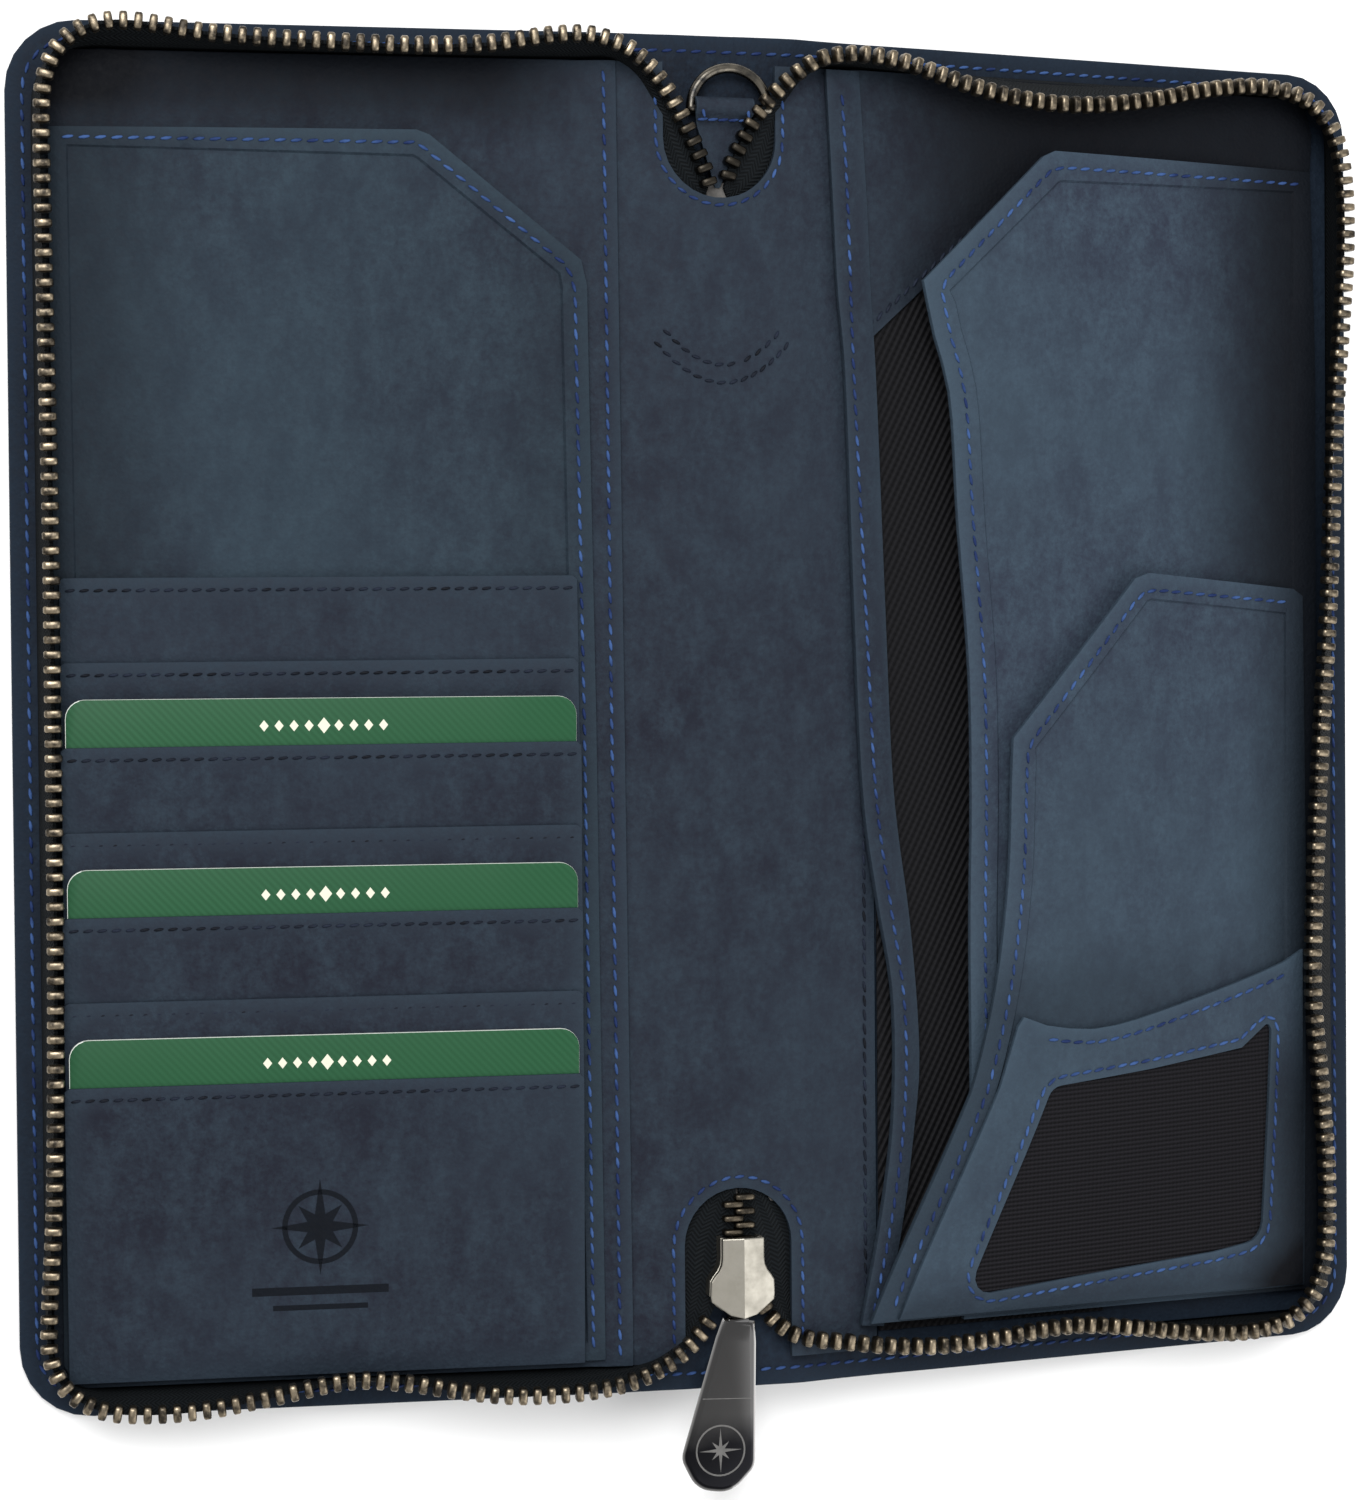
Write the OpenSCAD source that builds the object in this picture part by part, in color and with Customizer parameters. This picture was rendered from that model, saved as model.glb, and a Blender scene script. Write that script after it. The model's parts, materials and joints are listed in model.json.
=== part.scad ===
// Zip-round travel wallet for passports, tickets and cards, lying open.
// Two stiffened leather covers fold on a narrow spine. A zip tape stands up
// round each cover's edge, pockets and card slots are sewn inside, and a
// D-ring sits in a tab at the head of the spine.
//
// Plan directions: +X to the right cover, +Y to the head of the spine, +Z up.
// Heights inside the covers and the spine are measured from the outer face.

/* [Covers] */
// Height of the wallet, tail to head
wallet_height = 235; // [170:1:300]
// Width of one cover, from its fold line to its outer edge
cover_width = 115; // [108:1:160]
// Radius of the covers' outer corners
corner_radius = 12; // [9:0.5:18]
// Thickness of the outer leather
leather_t = 1.4; // [1:0.1:2]
// Thickness of the stiffening board
board_t = 1.2; // [0.8:0.1:2]
// Thickness of the lining leather
lining_t = 1.2; // [0.8:0.1:1.6]
// Margin from the leather's edge to the line where the zip tape is sewn
sewing_margin = 4.3; // [3:0.1:6]
// Angle that the open covers droop below the spine
rest_droop = 6.5; // [0:0.5:12]

/* [Spine] */
// Distance between the two fold lines
fold_spacing = 19; // [17:0.5:30]
// Clear gap between a piece and the fold line it ends at
fold_gap = 0.4; // [0.3:0.05:1]
// Sideways place of the zip's middle line on the spine
zip_line_x = -1.5; // [-2:0.1:1]
// Half width of the two U-shaped cut-outs in the lining
u_half_width = 10; // [9:0.5:12]
// Depth of the head cut-out
u_head_depth = 28; // [26:0.5:34]
// Depth of the tail cut-out
u_tail_depth = 35; // [34:0.5:42]

/* [Zip] */
// Thickness of the zip tape with its sewn edge
tape_t = 1.1; // [0.6:0.1:1.3]
// Height of the standing tape's top edge
tape_height = 10; // [8:0.5:11]
// Distance from one tooth to the next
tooth_pitch = 2.5; // [2:0.1:3.5]
// Thickness of a tooth along the row
tooth_t = 1.3; // [0.8:0.1:1.4]
// Width of a tooth across the row
tooth_across = 2.9; // [2.4:0.1:3.2]
// Height of a tooth
tooth_height = 2.8; // [2.4:0.1:3]
// How far the tape leans outwards at the left cover's corners
left_corner_lean = 2; // [0:0.5:3]
// How far the tape leans inwards at the middle of the left head
left_head_lean = 0.5; // [0:0.5:4]
// How far the tape leans inwards along the left fore-edge
left_fore_lean = 2; // [0:0.5:2]
// How far the tape leans inwards at the middle of the left tail
left_tail_lean = 1.5; // [0:0.5:4]
// How far the tape leans outwards at the right cover's corners
right_corner_lean = 0.5; // [0:0.5:3]
// How far the tape leans inwards at the middle of the right head
right_head_lean = 5; // [0:0.5:6]
// How far the tape leans inwards along the right fore-edge
right_fore_lean = 4.5; // [0:0.5:5]
// How far the tape leans inwards at the middle of the right tail
right_tail_lean = 3; // [0:0.5:4]

/* [Slider and puller] */
// Length of the slider
slider_length = 13.5; // [12:0.5:16]
// Width of the slider at its narrow end
slider_neck = 8; // [7.4:0.2:9]
// Width of the slider at its mouth
slider_mouth = 11.6; // [11:0.2:13]
// Distance from the tail edge to the slider's tip
slider_place = 13.5; // [12:0.5:16]
// How far the slider can travel back up the closed chain
slider_travel = 2.5; // [1:0.5:3]
// Length of the puller from its pin to its tip
puller_length = 29.9; // [20:0.5:40]
// Width of the puller beside its pin
puller_neck = 6.2; // [5:0.2:6.4]
// Width of the puller near its tip
puller_width = 13.4; // [9:0.2:14]
// Thickness of the puller
puller_t = 1.8; // [1.2:0.1:2]
// Angle that the puller hangs to the left
puller_skew = 9; // [0:1:9]
// Radius of the puller's pin
pin_r = 0.8; // [0.6:0.05:0.9]
// Radial clearance round the puller's pin and the D-ring's bar
pin_clearance = 0.15; // [0.1:0.05:0.25]

/* [D-ring] */
// Radius of the D-ring's wire
ring_wire_r = 0.9; // [0.7:0.1:1.1]
// Radius of the D-ring's bow, to the middle of the wire
ring_bow_r = 6.95; // [5:0.05:7]
// Distance from the head edge to the D-ring's bar
ring_place = 12.9; // [12:0.1:16]
// Width of the leather tab that holds the D-ring
tab_width = 11.2; // [8:0.2:11.2]
// Thickness of the tab's leather
tab_t = 0.9; // [0.7:0.1:1]

/* [Cards and slots] */
// Width of a card
card_width = 85.6; // [80:0.2:86]
// Height of a card
card_height = 54; // [50:0.5:56]
// Thickness of a card
card_t = 0.8; // [0.5:0.1:0.9]
// Radius of a card's corners
card_corner = 3.2; // [2:0.1:4]
// Distance from one card slot's edge to the next
slot_pitch = 14.15; // [13:0.05:16]
// Thickness of the card slots' leather
slot_t = 0.5; // [0.4:0.05:0.6]
// How far a slot's leather goes down behind the next edge
slot_overlap = 3; // [2:0.5:5]
// Distance of the top slot's edge from the wallet's tail
slot_rise = 141.4; // [138:0.1:150]
// How far a card stands out above its slot's edge
card_show = 8; // [5:0.5:10]

/* [Pockets] */
// Thickness of the pocket panels
panel_t = 1; // [0.8:0.1:1.2]
// Distance from the head edge to the pocket panels' top edges
panel_drop = 18; // [16:0.5:30]
// Distance from the left fold to the slip pocket's free edge
slip_edge = 16; // [15:0.5:22]
// Clear gap between stacked pieces
stack_gap = 0.1; // [0.05:0.05:0.2]
// Height that the large pocket's free edge stands above its sewn edge
large_lift = 4.2; // [2:0.2:5]
// Height that the small pocket's free edge stands above its sewn edge
small_lift = 5.3; // [4:0.2:6]
// Thickness of the twill and the window's mesh
cloth_t = 0.4; // [0.3:0.05:0.5]

/* [Hidden] */
$fn = 48;

half_h = wallet_height / 2;
fold_x = fold_spacing / 2;
board_top = leather_t + board_t;
base_t = board_top + lining_t;
// The fold axis runs just above the lining, so that closing opens the outer side
fold_height = base_t + 0.2;
spine_half = fold_x - fold_gap;

// The zip tape's sewn line: along the head, round the corner, down the
// fore-edge, round the other corner and back along the tail
run_r = corner_radius - sewing_margin;
run_u = cover_width - sewing_margin - run_r;
run_v = half_h - sewing_margin;
side_half = run_v - run_r;
arc_len = run_r * PI / 2;
fore_start = run_u + arc_len;
fore_end = fore_start + 2 * side_half;
tail_start = fore_end + arc_len;
run_len = tail_start + run_u;

// How far the tape turns in where it meets the spine at the head and the tail
head_turn = 9.4;
tail_turn = 4.9;
turn_run = 13;
// The tape stands up over this stretch beside the fold
rise_start = 10;
rise_run = 13;
flat_top = leather_t + tape_t;
lining_inset = sewing_margin + tape_t + 0.2;
// Teeth start this far from the fold, clear of the ring and the puller when shut
head_tooth_start = 4.5;
tail_tooth_start = 7.5;

// The slider's places along the spine
slider_tip = -half_h + slider_place;
slider_top = slider_tip + slider_length;
slider_floor = leather_t + 0.2;
channel_low = flat_top - 0.15;
channel_high = flat_top + tooth_height + 0.15;
slider_lid_t = 1.15;
pivot_y = slider_tip - 1.4;
pivot_h = leather_t + 1.6;
eye_r = pin_r + pin_clearance + 0.4;
puller_tip_y = pivot_y - puller_length * cos(puller_skew);

// The ring's bar sits in the tab's loop
ring_y = half_h - ring_place;
loop_r = ring_wire_r + pin_clearance + tab_t;
ring_h = flat_top + 0.2 + ring_wire_r;

// The origin: middle of the box, on the surface under the drooping covers
shift_y = -(puller_tip_y + half_h) / 2;
lift = cover_width * sin(rest_droop) + fold_height * (cos(rest_droop) - 1);

// Card slots: parallel sheets, tilted so that each clears the one behind it
panel_h = base_t + 2 * stack_gap;
panel_top = panel_h + panel_t;
sheet_gap = 0.05;
slot_slope = (card_t + 2 * slot_t + 3 * sheet_gap) / (2 * slot_pitch);
slot_angle = atan(slot_slope);
slot_tail = -half_h + 6.5;
slot_top = -half_h + slot_rise;
slot_u0 = slip_edge + 1.5;
card_u0 = slip_edge + 4.6;

leather_blue = [0.17, 0.23, 0.30];
hem_blue = [0.20, 0.28, 0.35];
cloth_black = [0.06, 0.07, 0.09];
bronze = [0.42, 0.37, 0.30];

function smooth(t) = let (c = max(0, min(1, t))) c * c * (3 - 2 * c);
function swell(t) = t <= 0 || t >= 1 ? 0 : pow(sin(180 * t), 2);
function mix(a, b, t) = a + (b - a) * t;
function arc(cx, cy, r, from, to, n = 8) =
    [for (i = [0:n]) let (a = mix(from, to, i / n)) [cx + r * cos(a), cy + r * sin(a)]];

// Place on the sewn line at distance d from the head of the fold, with the
// direction of its outward normal
function run_at(d) =
    d < run_u ? [d, run_v, 90] :
    d < fore_start ? let (a = 90 - (d - run_u) / arc_len * 90)
        [run_u + run_r * cos(a), side_half + run_r * sin(a), a] :
    d < fore_end ? [run_u + run_r, side_half - (d - fore_start), 0] :
    d < tail_start ? let (a = -(d - fore_end) / arc_len * 90)
        [run_u + run_r * cos(a), -side_half + run_r * sin(a), a] :
    [run_len - d, -run_v, -90];

function inward(d, off) = let (p = run_at(d)) [p[0] - off * cos(p[2]), p[1] - off * sin(p[2])];

// Inward lean of the tape's top edge: [corner, head, fore-edge, tail] of each cover
left_leans = [left_corner_lean, left_head_lean, left_fore_lean, left_tail_lean];
right_leans = [right_corner_lean, right_head_lean, right_fore_lean, right_tail_lean];
function edge_wave(corner, middle, d) =
    -corner + (middle + corner) * swell((d / run_u - 0.15) / 0.8);
function fore_lean(leans, f) =
    -leans[0] + (leans[2] + leans[0]) * smooth(min(f, 1 - f) / 0.15);
function turn_share(d) = pow(1 - min(1, d / turn_run), 2);
function lean(leans, d) =
    d < run_u ? mix(edge_wave(leans[0], leans[1], d), head_turn, turn_share(d)) :
    d > tail_start ? mix(edge_wave(leans[0], leans[3], run_len - d), tail_turn,
                         turn_share(run_len - d)) :
    d > fore_start && d < fore_end ?
        fore_lean(leans, (d - fore_start) / (fore_end - fore_start)) : -leans[0];
function stand(d) = smooth((min(d, run_len - d) - rise_start) / rise_run);
function tape_top(d) = mix(flat_top, tape_height, stand(d));
// A tooth sits just over the higher end of the stretch of tape under it
seat_gap = 0.15;
function tooth_seat(d) = max(tape_top(d - tooth_t), tape_top(d + tooth_t)) + seat_gap;

// One ring of the tape's section: it lies flat beside the fold, and further on it stands
// straight up past the lining and leans from there
function tape_knee(d) = mix(leather_t + tape_t / 2, base_t + 0.3, stand(d));
function tape_ring(leans, d) =
    let (off = lean(leans, d), top = tape_top(d), knee = tape_knee(d))
    [for (p = [[0, leather_t], [0, knee], [off, top], [off + tape_t, top], [tape_t, knee],
               [tape_t, leather_t]])
        let (q = inward(d, p[0])) [q[0], q[1], p[1]]];

function steps(from, to, n) = [for (i = [1:n]) mix(from, to, i / n)];
tape_from = fold_gap + 0.2;
tape_stations = concat([tape_from], steps(tape_from, run_u, 40), steps(run_u, fore_start, 6),
    steps(fore_start, fore_end, 40), steps(fore_end, tail_start, 6),
    steps(tail_start, run_len - tape_from, 40));

// Outlines in a cover's plan: u outwards from the fold line, v towards the head
module cover_outline(inset) {
    r = max(corner_radius - inset, 1);
    w = cover_width - inset;
    h = half_h - inset;
    polygon(concat([[fold_gap, -h]], arc(w - r, -h + r, r, -90, 0), arc(w - r, h - r, r, 0, 90),
                   [[fold_gap, h]]));
}

// The cut-outs' plan on the spine, one open to the head and one to the tail
module u_cut(depth, grow) {
    r = u_half_width + grow;
    translate([zip_line_x, half_h - depth + u_half_width]) {
        circle(r = r);
        translate([-r, 0]) square([2 * r, depth]);
    }
}

module head_cut(grow = 0) u_cut(u_head_depth, grow);
module tail_cut(grow = 0) mirror([0, 1]) u_cut(u_tail_depth, grow);

// The same cut-outs seen from a cover, whose u runs away from the fold
module cuts_on_cover(side, grow = 0) {
    translate([-fold_x, 0]) mirror([side < 0 ? 1 : 0, 0]) {
        head_cut(grow);
        tail_cut(grow);
    }
}

// Room in the lining where the tape and its teeth lie low beside the fold
row_room = (tape_t + tooth_across) / 2 + 0.7;
module tape_room(leans) {
    room_run = rise_start + rise_run / 2;
    polygon(concat([[-1, half_h]],
                   [for (d = [0:room_run / 8:room_run]) inward(d, lean(leans, d) + row_room)],
                   [[room_run, half_h]]));
    polygon(concat([[-1, -half_h]],
                   [for (d = [0:room_run / 8:room_run])
                       inward(run_len - d, lean(leans, run_len - d) + row_room)],
                   [[room_run, -half_h]]));
}

module on_spine() translate([0, shift_y, lift]) children();

module on_cover(side) {
    on_spine() mirror([side < 0 ? 1 : 0, 0, 0]) translate([fold_x, 0, fold_height])
        rotate([0, rest_droop, 0]) translate([0, 0, -fold_height]) children();
}

module plate(from, t) translate([0, 0, from]) linear_extrude(t) children();

module spine_strip(inset) {
    translate([-spine_half, -half_h + inset]) square([2 * spine_half, wallet_height - 2 * inset]);
}

module tooth(place, turn, from, t = tooth_t, across = tooth_across) {
    translate([place[0], place[1], from]) rotate([0, 0, turn])
        translate([-across / 2, -t / 2, 0]) cube([across, t, tooth_height]);
}

// Teeth along a straight stretch of the row
module tooth_row(from, to) {
    run = to - from;
    count = max(1, floor(norm(run) / tooth_pitch));
    turn = atan2(run[1], run[0]) + 90;
    for (i = [0:count]) tooth(from + run * i / count, turn, flat_top);
}

// ---- the spine and what is sewn to it ----

module spine_leather() color(leather_blue) on_spine() plate(0, leather_t) spine_strip(0);

module spine_board() {
    color("dimgray") on_spine() plate(leather_t, board_t) difference() {
        spine_strip(7.5);
        head_cut(3);
        tail_cut(3);
    }
}

module spine_lining() {
    color(leather_blue) on_spine() plate(board_top, lining_t) difference() {
        spine_strip(sewing_margin);
        head_cut();
        tail_cut();
        head_v(-row_room);
        tail_v(-row_room);
    }
}

// Half distance between the middles of the two rows: at the apex and at the fold
apex_half = 1.9;
apex_y = half_h - u_head_depth + 2;
head_fold_y = run_v - head_turn - 1.5;
mouth_half = 4.8;
mouth_y = slider_tip + 1;
tail_fold_y = -(run_v - tail_turn) + 0.6;
row_end_x = spine_half - 1.2;

function head_apex(side) = [zip_line_x + side * apex_half, apex_y];
function head_fold(side) = [side * row_end_x, head_fold_y];
function mouth(side) = [zip_line_x + side * mouth_half, mouth_y];
function tail_fold(side) = [side * row_end_x, tail_fold_y];

// The open V between the two rows at the head, which is narrower by inset on each side
module head_v(inset) {
    from = max(0, (inset + 0.4 - apex_half) / (spine_half - apex_half));
    right = mix(head_apex(1), head_fold(1), from);
    left = mix(head_apex(-1), head_fold(-1), from);
    polygon([right - [inset, 0], head_fold(1) - [inset, 0], [fold_x + 5, half_h + 1],
             [-fold_x - 5, half_h + 1], head_fold(-1) + [inset, 0], left + [inset, 0]]);
}

// The open space between the two rows at the tail
module tail_v(inset) {
    polygon([mouth(1) - [inset, 0], tail_fold(1) - [inset, 0], [fold_x + 5, -half_h - 1],
             [-fold_x - 5, -half_h - 1], tail_fold(-1) + [inset, 0], mouth(-1) + [inset, 0]]);
}

// The tab: the ring's bar turns in a loop, and both layers are sewn down between the rows
module ring_tab() {
    flat_y = ring_y - 3.1;
    color(hem_blue) on_spine() intersection() {
        translate([zip_line_x - tab_width / 2, 0, 0]) rotate([90, 0, 90])
            linear_extrude(tab_width) difference() {
                union() {
                    translate([ring_y, ring_h]) circle(r = loop_r);
                    polygon([[apex_y, leather_t], [ring_y, leather_t], [ring_y, ring_h + loop_r],
                             [flat_y, leather_t + 2 * tab_t], [apex_y, leather_t + 2 * tab_t]]);
                }
                translate([ring_y, ring_h]) circle(r = ring_wire_r + pin_clearance);
            }
        plate(0, 20) head_v(tooth_across / 2 + 0.5);
    }
}

module head_tape() {
    color(cloth_black) on_spine() plate(leather_t, tape_t) difference() {
        intersection() {
            head_cut(2.7);
            spine_strip(sewing_margin);
        }
        head_v(1);
    }
}

module head_teeth() {
    color(bronze) on_spine() for (side = [-1, 1]) tooth_row(head_fold(side), head_apex(side));
}

// The slider sweeps over this part of the spine
module slider_room() {
    half = slider_mouth / 2 + 0.4;
    translate([zip_line_x - half, -half_h]) square([2 * half, slider_top + slider_travel + half_h + 0.3]);
}

module tail_tape() {
    color(cloth_black) on_spine() plate(leather_t, tape_t) difference() {
        intersection() {
            tail_cut(2.7);
            spine_strip(sewing_margin);
        }
        slider_room();
        tail_v(1);
        stop_plan(0.2);
    }
}

module tail_teeth() {
    color(bronze) on_spine() for (side = [-1, 1]) tooth_row(mouth(side), tail_fold(side));
}

// The closed chain: the two rows' teeth interlock, half a pitch apart
chain_top = -half_h + u_tail_depth - 0.6;
chain_end = slider_top - 1.5;
module closed_chain() {
    step = tooth_pitch / 2;
    count = floor((chain_top - chain_end) / step);
    reach = 4.1;
    offset_x = 2.8 - reach / 2;
    color(bronze) on_spine() for (i = [0:count - 1])
        tooth([zip_line_x + (i % 2 == 0 ? -1 : 1) * offset_x, chain_top - (i + 0.5) * step], 0,
              flat_top, step - 0.1, reach);
}

module stop_plan(grow) {
    translate([zip_line_x - 2.5 - grow, chain_top + 0.8 - grow]) square([5 + 2 * grow, 2 + 2 * grow]);
}

module bottom_stop() color(bronze) on_spine() plate(leather_t, tape_t) stop_plan(0);

// ---- D-ring, slider and puller ----

module d_ring() {
    color(bronze) on_spine() translate([zip_line_x, ring_y, ring_h]) {
        rotate_extrude(angle = 180) translate([ring_bow_r, 0]) circle(r = ring_wire_r);
        translate([-ring_bow_r, 0, 0]) rotate([0, 90, 0]) cylinder(r = ring_wire_r, h = 2 * ring_bow_r);
        for (side = [-1, 1]) translate([side * ring_bow_r, 0, 0]) sphere(r = ring_wire_r);
    }
}

// Plan of the slider about its own middle line, the mouth towards the tail
module slider_plan(neck, mouth_w, tip) {
    shoulder = slider_tip + slider_length * 0.47;
    corner = slider_tip + slider_length * 0.2;
    polygon([[-neck / 2, slider_top], [-mouth_w / 2, shoulder], [-mouth_w / 2, corner], [0, tip],
             [mouth_w / 2, corner], [mouth_w / 2, shoulder], [neck / 2, slider_top]]);
}

module slider_body() {
    wall = 0.8;
    slot_low = channel_low + 0.9;
    slot_high = channel_low + 1.7;
    ear_in = 2.1;
    ear_out = 2.9;
    post_half = 0.7;
    post_top = slider_tip + 6.4;
    color("gainsboro") on_spine() translate([zip_line_x, 0, 0]) {
        plate(slider_floor, channel_low - slider_floor)
            slider_plan(slider_neck, slider_mouth, slider_tip + 2.7);
        plate(channel_high, slider_lid_t) slider_plan(slider_neck, slider_mouth, slider_tip);
        // Side walls, with a slot for the tape half way up
        for (span = [[channel_low, slot_low], [slot_high, channel_high]])
            plate(span[0], span[1] - span[0]) difference() {
                slider_plan(slider_neck, slider_mouth, slider_tip + 2.7);
                polygon([[-slider_neck / 2 + wall, slider_top + 1],
                         [-slider_mouth / 2 + wall, slider_tip + slider_length * 0.47],
                         [-slider_mouth / 2 + wall, slider_tip - 1],
                         [slider_mouth / 2 - wall, slider_tip - 1],
                         [slider_mouth / 2 - wall, slider_tip + slider_length * 0.47],
                         [slider_neck / 2 - wall, slider_top + 1]]);
            }
        // The post that parts the rows and joins the two plates
        plate(channel_low, channel_high - channel_low) {
            translate([0, post_top - post_half]) circle(r = post_half);
            translate([-post_half, slider_tip + 3]) square([2 * post_half, 2.7]);
        }
        // Two ears and the pin that the puller turns on
        for (side = [-1, 1]) translate([side > 0 ? ear_in : -ear_out, 0, 0]) {
            translate([0, pivot_y, slider_floor])
                cube([ear_out - ear_in, slider_tip + 3 - pivot_y, channel_low - slider_floor]);
            translate([0, pivot_y, pivot_h]) rotate([0, 90, 0])
                cylinder(r = eye_r, h = ear_out - ear_in);
        }
        translate([-ear_out, pivot_y, pivot_h]) rotate([0, 90, 0]) cylinder(r = pin_r, h = 2 * ear_out);
    }
}

module puller() {
    eye_half = 1.9;
    blade_from = eye_r + 0.4;
    end_r = 3.2;
    tip_half = puller_width / 2;
    color("dimgray") on_spine() translate([zip_line_x, pivot_y, pivot_h]) difference() {
        union() {
            translate([-eye_half, 0, 0]) rotate([0, 90, 0]) cylinder(r = eye_r, h = 2 * eye_half);
            translate([-eye_half, -blade_from - 0.6, -eye_r * 0.75])
                cube([2 * eye_half, blade_from + 0.6, eye_r * 1.5]);
            rotate([0, 0, -puller_skew]) plate(-puller_t / 2, puller_t)
                polygon(concat([[puller_neck / 2, -blade_from - 0.4]],
                    arc(tip_half - end_r, -puller_length + end_r, end_r, -10, -90),
                    arc(-tip_half + end_r, -puller_length + end_r, end_r, -90, -170),
                    [[-puller_neck / 2, -blade_from - 0.4]]));
        }
        translate([-eye_half - 1, 0, 0]) rotate([0, 90, 0])
            cylinder(r = pin_r + pin_clearance, h = 2 * eye_half + 2);
    }
}

// ---- pieces that both covers have ----

module cover_leather(side) color(leather_blue) on_cover(side) plate(0, leather_t) cover_outline(0);

module cover_board(side) {
    color("dimgray") on_cover(side) plate(leather_t, board_t) difference() {
        cover_outline(lining_inset + 1);
        cuts_on_cover(side, 3);
        tape_room(side < 0 ? left_leans : right_leans);
    }
}

module cover_lining(side) {
    color(leather_blue) on_cover(side) plate(board_top, lining_t) difference() {
        cover_outline(lining_inset);
        cuts_on_cover(side);
        tape_room(side < 0 ? left_leans : right_leans);
    }
}

module cover_tape(side) {
    leans = side < 0 ? left_leans : right_leans;
    points = [for (d = tape_stations) each tape_ring(leans, d)];
    rings = len(tape_stations);
    sides = 6;
    walls = [for (i = [0:rings - 2], j = [0:sides - 1])
        let (a = i * sides + j, b = i * sides + (j + 1) % sides)
        each [[a, b + sides, b], [a, a + sides, b + sides]]];
    first = [for (j = [0:sides - 1]) j];
    last = [for (j = [sides - 1:-1:0]) (rings - 1) * sides + j];
    color(cloth_black) on_cover(side) polyhedron(points, concat(walls, [first, last]));
}

// The right row starts half a pitch later, so that the two rows mesh when shut
module cover_teeth(side) {
    leans = side < 0 ? left_leans : right_leans;
    late = side < 0 ? 0 : tooth_pitch / 2;
    color(bronze) on_cover(side)
        for (d = [head_tooth_start + late : tooth_pitch : run_len - tail_tooth_start]) {
            place = inward(d, lean(leans, d) + tape_t / 2);
            ahead = inward(d + 0.4, lean(leans, d + 0.4) + tape_t / 2) - place;
            tooth(place, atan2(ahead[1], ahead[0]) + 90, tooth_seat(d));
        }
}

// ---- the left cover's slip pocket, card slots and cards ----

fore_limit = cover_width - lining_inset - 2.2;
corner_cut = 2;

module slip_pocket_panel() {
    top = half_h - panel_drop;
    color(leather_blue) on_cover(-1) plate(panel_h, panel_t)
        polygon([[slip_edge, slot_tail], [fore_limit - corner_cut, slot_tail],
                 [fore_limit, slot_tail + corner_cut], [fore_limit, top],
                 [slip_edge + 29, top], [slip_edge + 1.5, top - 22], [slip_edge, top - 26.5]]);
}

function slot_edge(k) = slot_top - (k - 1) * slot_pitch;
card_drop = [3, 5, 7];
function card_foot(n) = slot_edge(card_drop[n - 1]) + card_show - card_height;
// Height of a card's back at its foot: the lowest card rests on the panel
function card_back(n) = panel_top + sheet_gap;

// A slot lies in front of the card behind it, or of the slot above
module slot_sheet(k) {
    edge = slot_edge(k);
    foot = k == 7 ? slot_tail : edge - slot_pitch - slot_overlap;
    // Odd slots have a card behind them, even slots the slot above
    pair = k % 2 == 1 ? k : k + 1;
    plane_foot = slot_edge(pair) + card_show - card_height;
    behind = k % 2 == 1 ? card_t + sheet_gap : -slot_t - sheet_gap;
    back = panel_top + sheet_gap + behind + slot_slope * (foot - plane_foot);
    low = k > 2;
    color(leather_blue) on_cover(-1)
        translate([slot_u0, foot, low ? back : panel_top + sheet_gap + (k - 1) * (slot_t + sheet_gap)])
            rotate([low ? slot_angle : 0, 0, 0])
                cube([fore_limit - 0.4 - slot_u0, (edge - foot) / (low ? cos(slot_angle) : 1), slot_t]);
}

module card_slot_1() slot_sheet(1);
module card_slot_2() slot_sheet(2);
module card_slot_3() slot_sheet(3);
module card_slot_4() slot_sheet(4);
module card_slot_5() slot_sheet(5);
module card_slot_6() slot_sheet(6);
module card_slot_7() slot_sheet(7);

module card(n) {
    r = card_corner;
    w = card_width;
    h = card_height;
    color([0.13, 0.36, 0.22]) on_cover(-1) translate([card_u0, card_foot(n), card_back(n)])
        rotate([slot_angle, 0, 0]) linear_extrude(card_t)
            polygon(concat(arc(r, r, r, 180, 270), arc(w - r, r, r, 270, 360),
                           arc(w - r, h - r, r, 0, 90), arc(r, h - r, r, 90, 180)));
}

module card_1() card(1);
module card_2() card(2);
module card_3() card(3);

// ---- the right cover's stepped pockets ----

strip_in = 8;
strip_out = 15.5;
facing_in = strip_out + 0.5;
facing_top = half_h - 8;
facing_t = 0.8;
pocket_out = cover_width - lining_inset - 4;
pocket_tail = -half_h + 9.5;
panel_head = half_h - panel_drop;
large_h = panel_h + facing_t + stack_gap;
large_in = 31;
large_tilt = atan(large_lift / (pocket_out - large_in));
small_out = pocket_out - 4.5;
small_in = 37;
small_h = large_h + (pocket_out - small_out) * tan(large_tilt) + panel_t + 2 * stack_gap;
small_tilt = atan(small_lift / (small_out - small_in));
small_tail = pocket_tail + 1.5;
small_head = slot_top;

// Tips a panel up about its sewn outer edge, so that its free edge stands open
module tipped(out, from, tilt) {
    translate([out, 0, from]) rotate([0, tilt, 0]) translate([-out, 0, 0]) children();
}

module pocket_edge_strip() {
    color(hem_blue) on_cover(1) plate(panel_h, panel_t)
        polygon([[strip_in - 1, half_h * 0.66], [strip_in + 1, half_h * 0.4],
                 [strip_in + 1, -half_h * 0.9], [strip_out, -half_h * 0.9],
                 [strip_out, half_h * 0.66], [strip_out - 1.5, facing_top - 8],
                 [strip_in - 1, facing_top - 8]]);
}

module facing_line(down) {
    polygon([[facing_in, half_h * 0.6 - down], [facing_in + 27, panel_head - 4.5 - down],
             [pocket_out, panel_head - 4.5 - down], [pocket_out, facing_top],
             [facing_in, facing_top]]);
}

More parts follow.
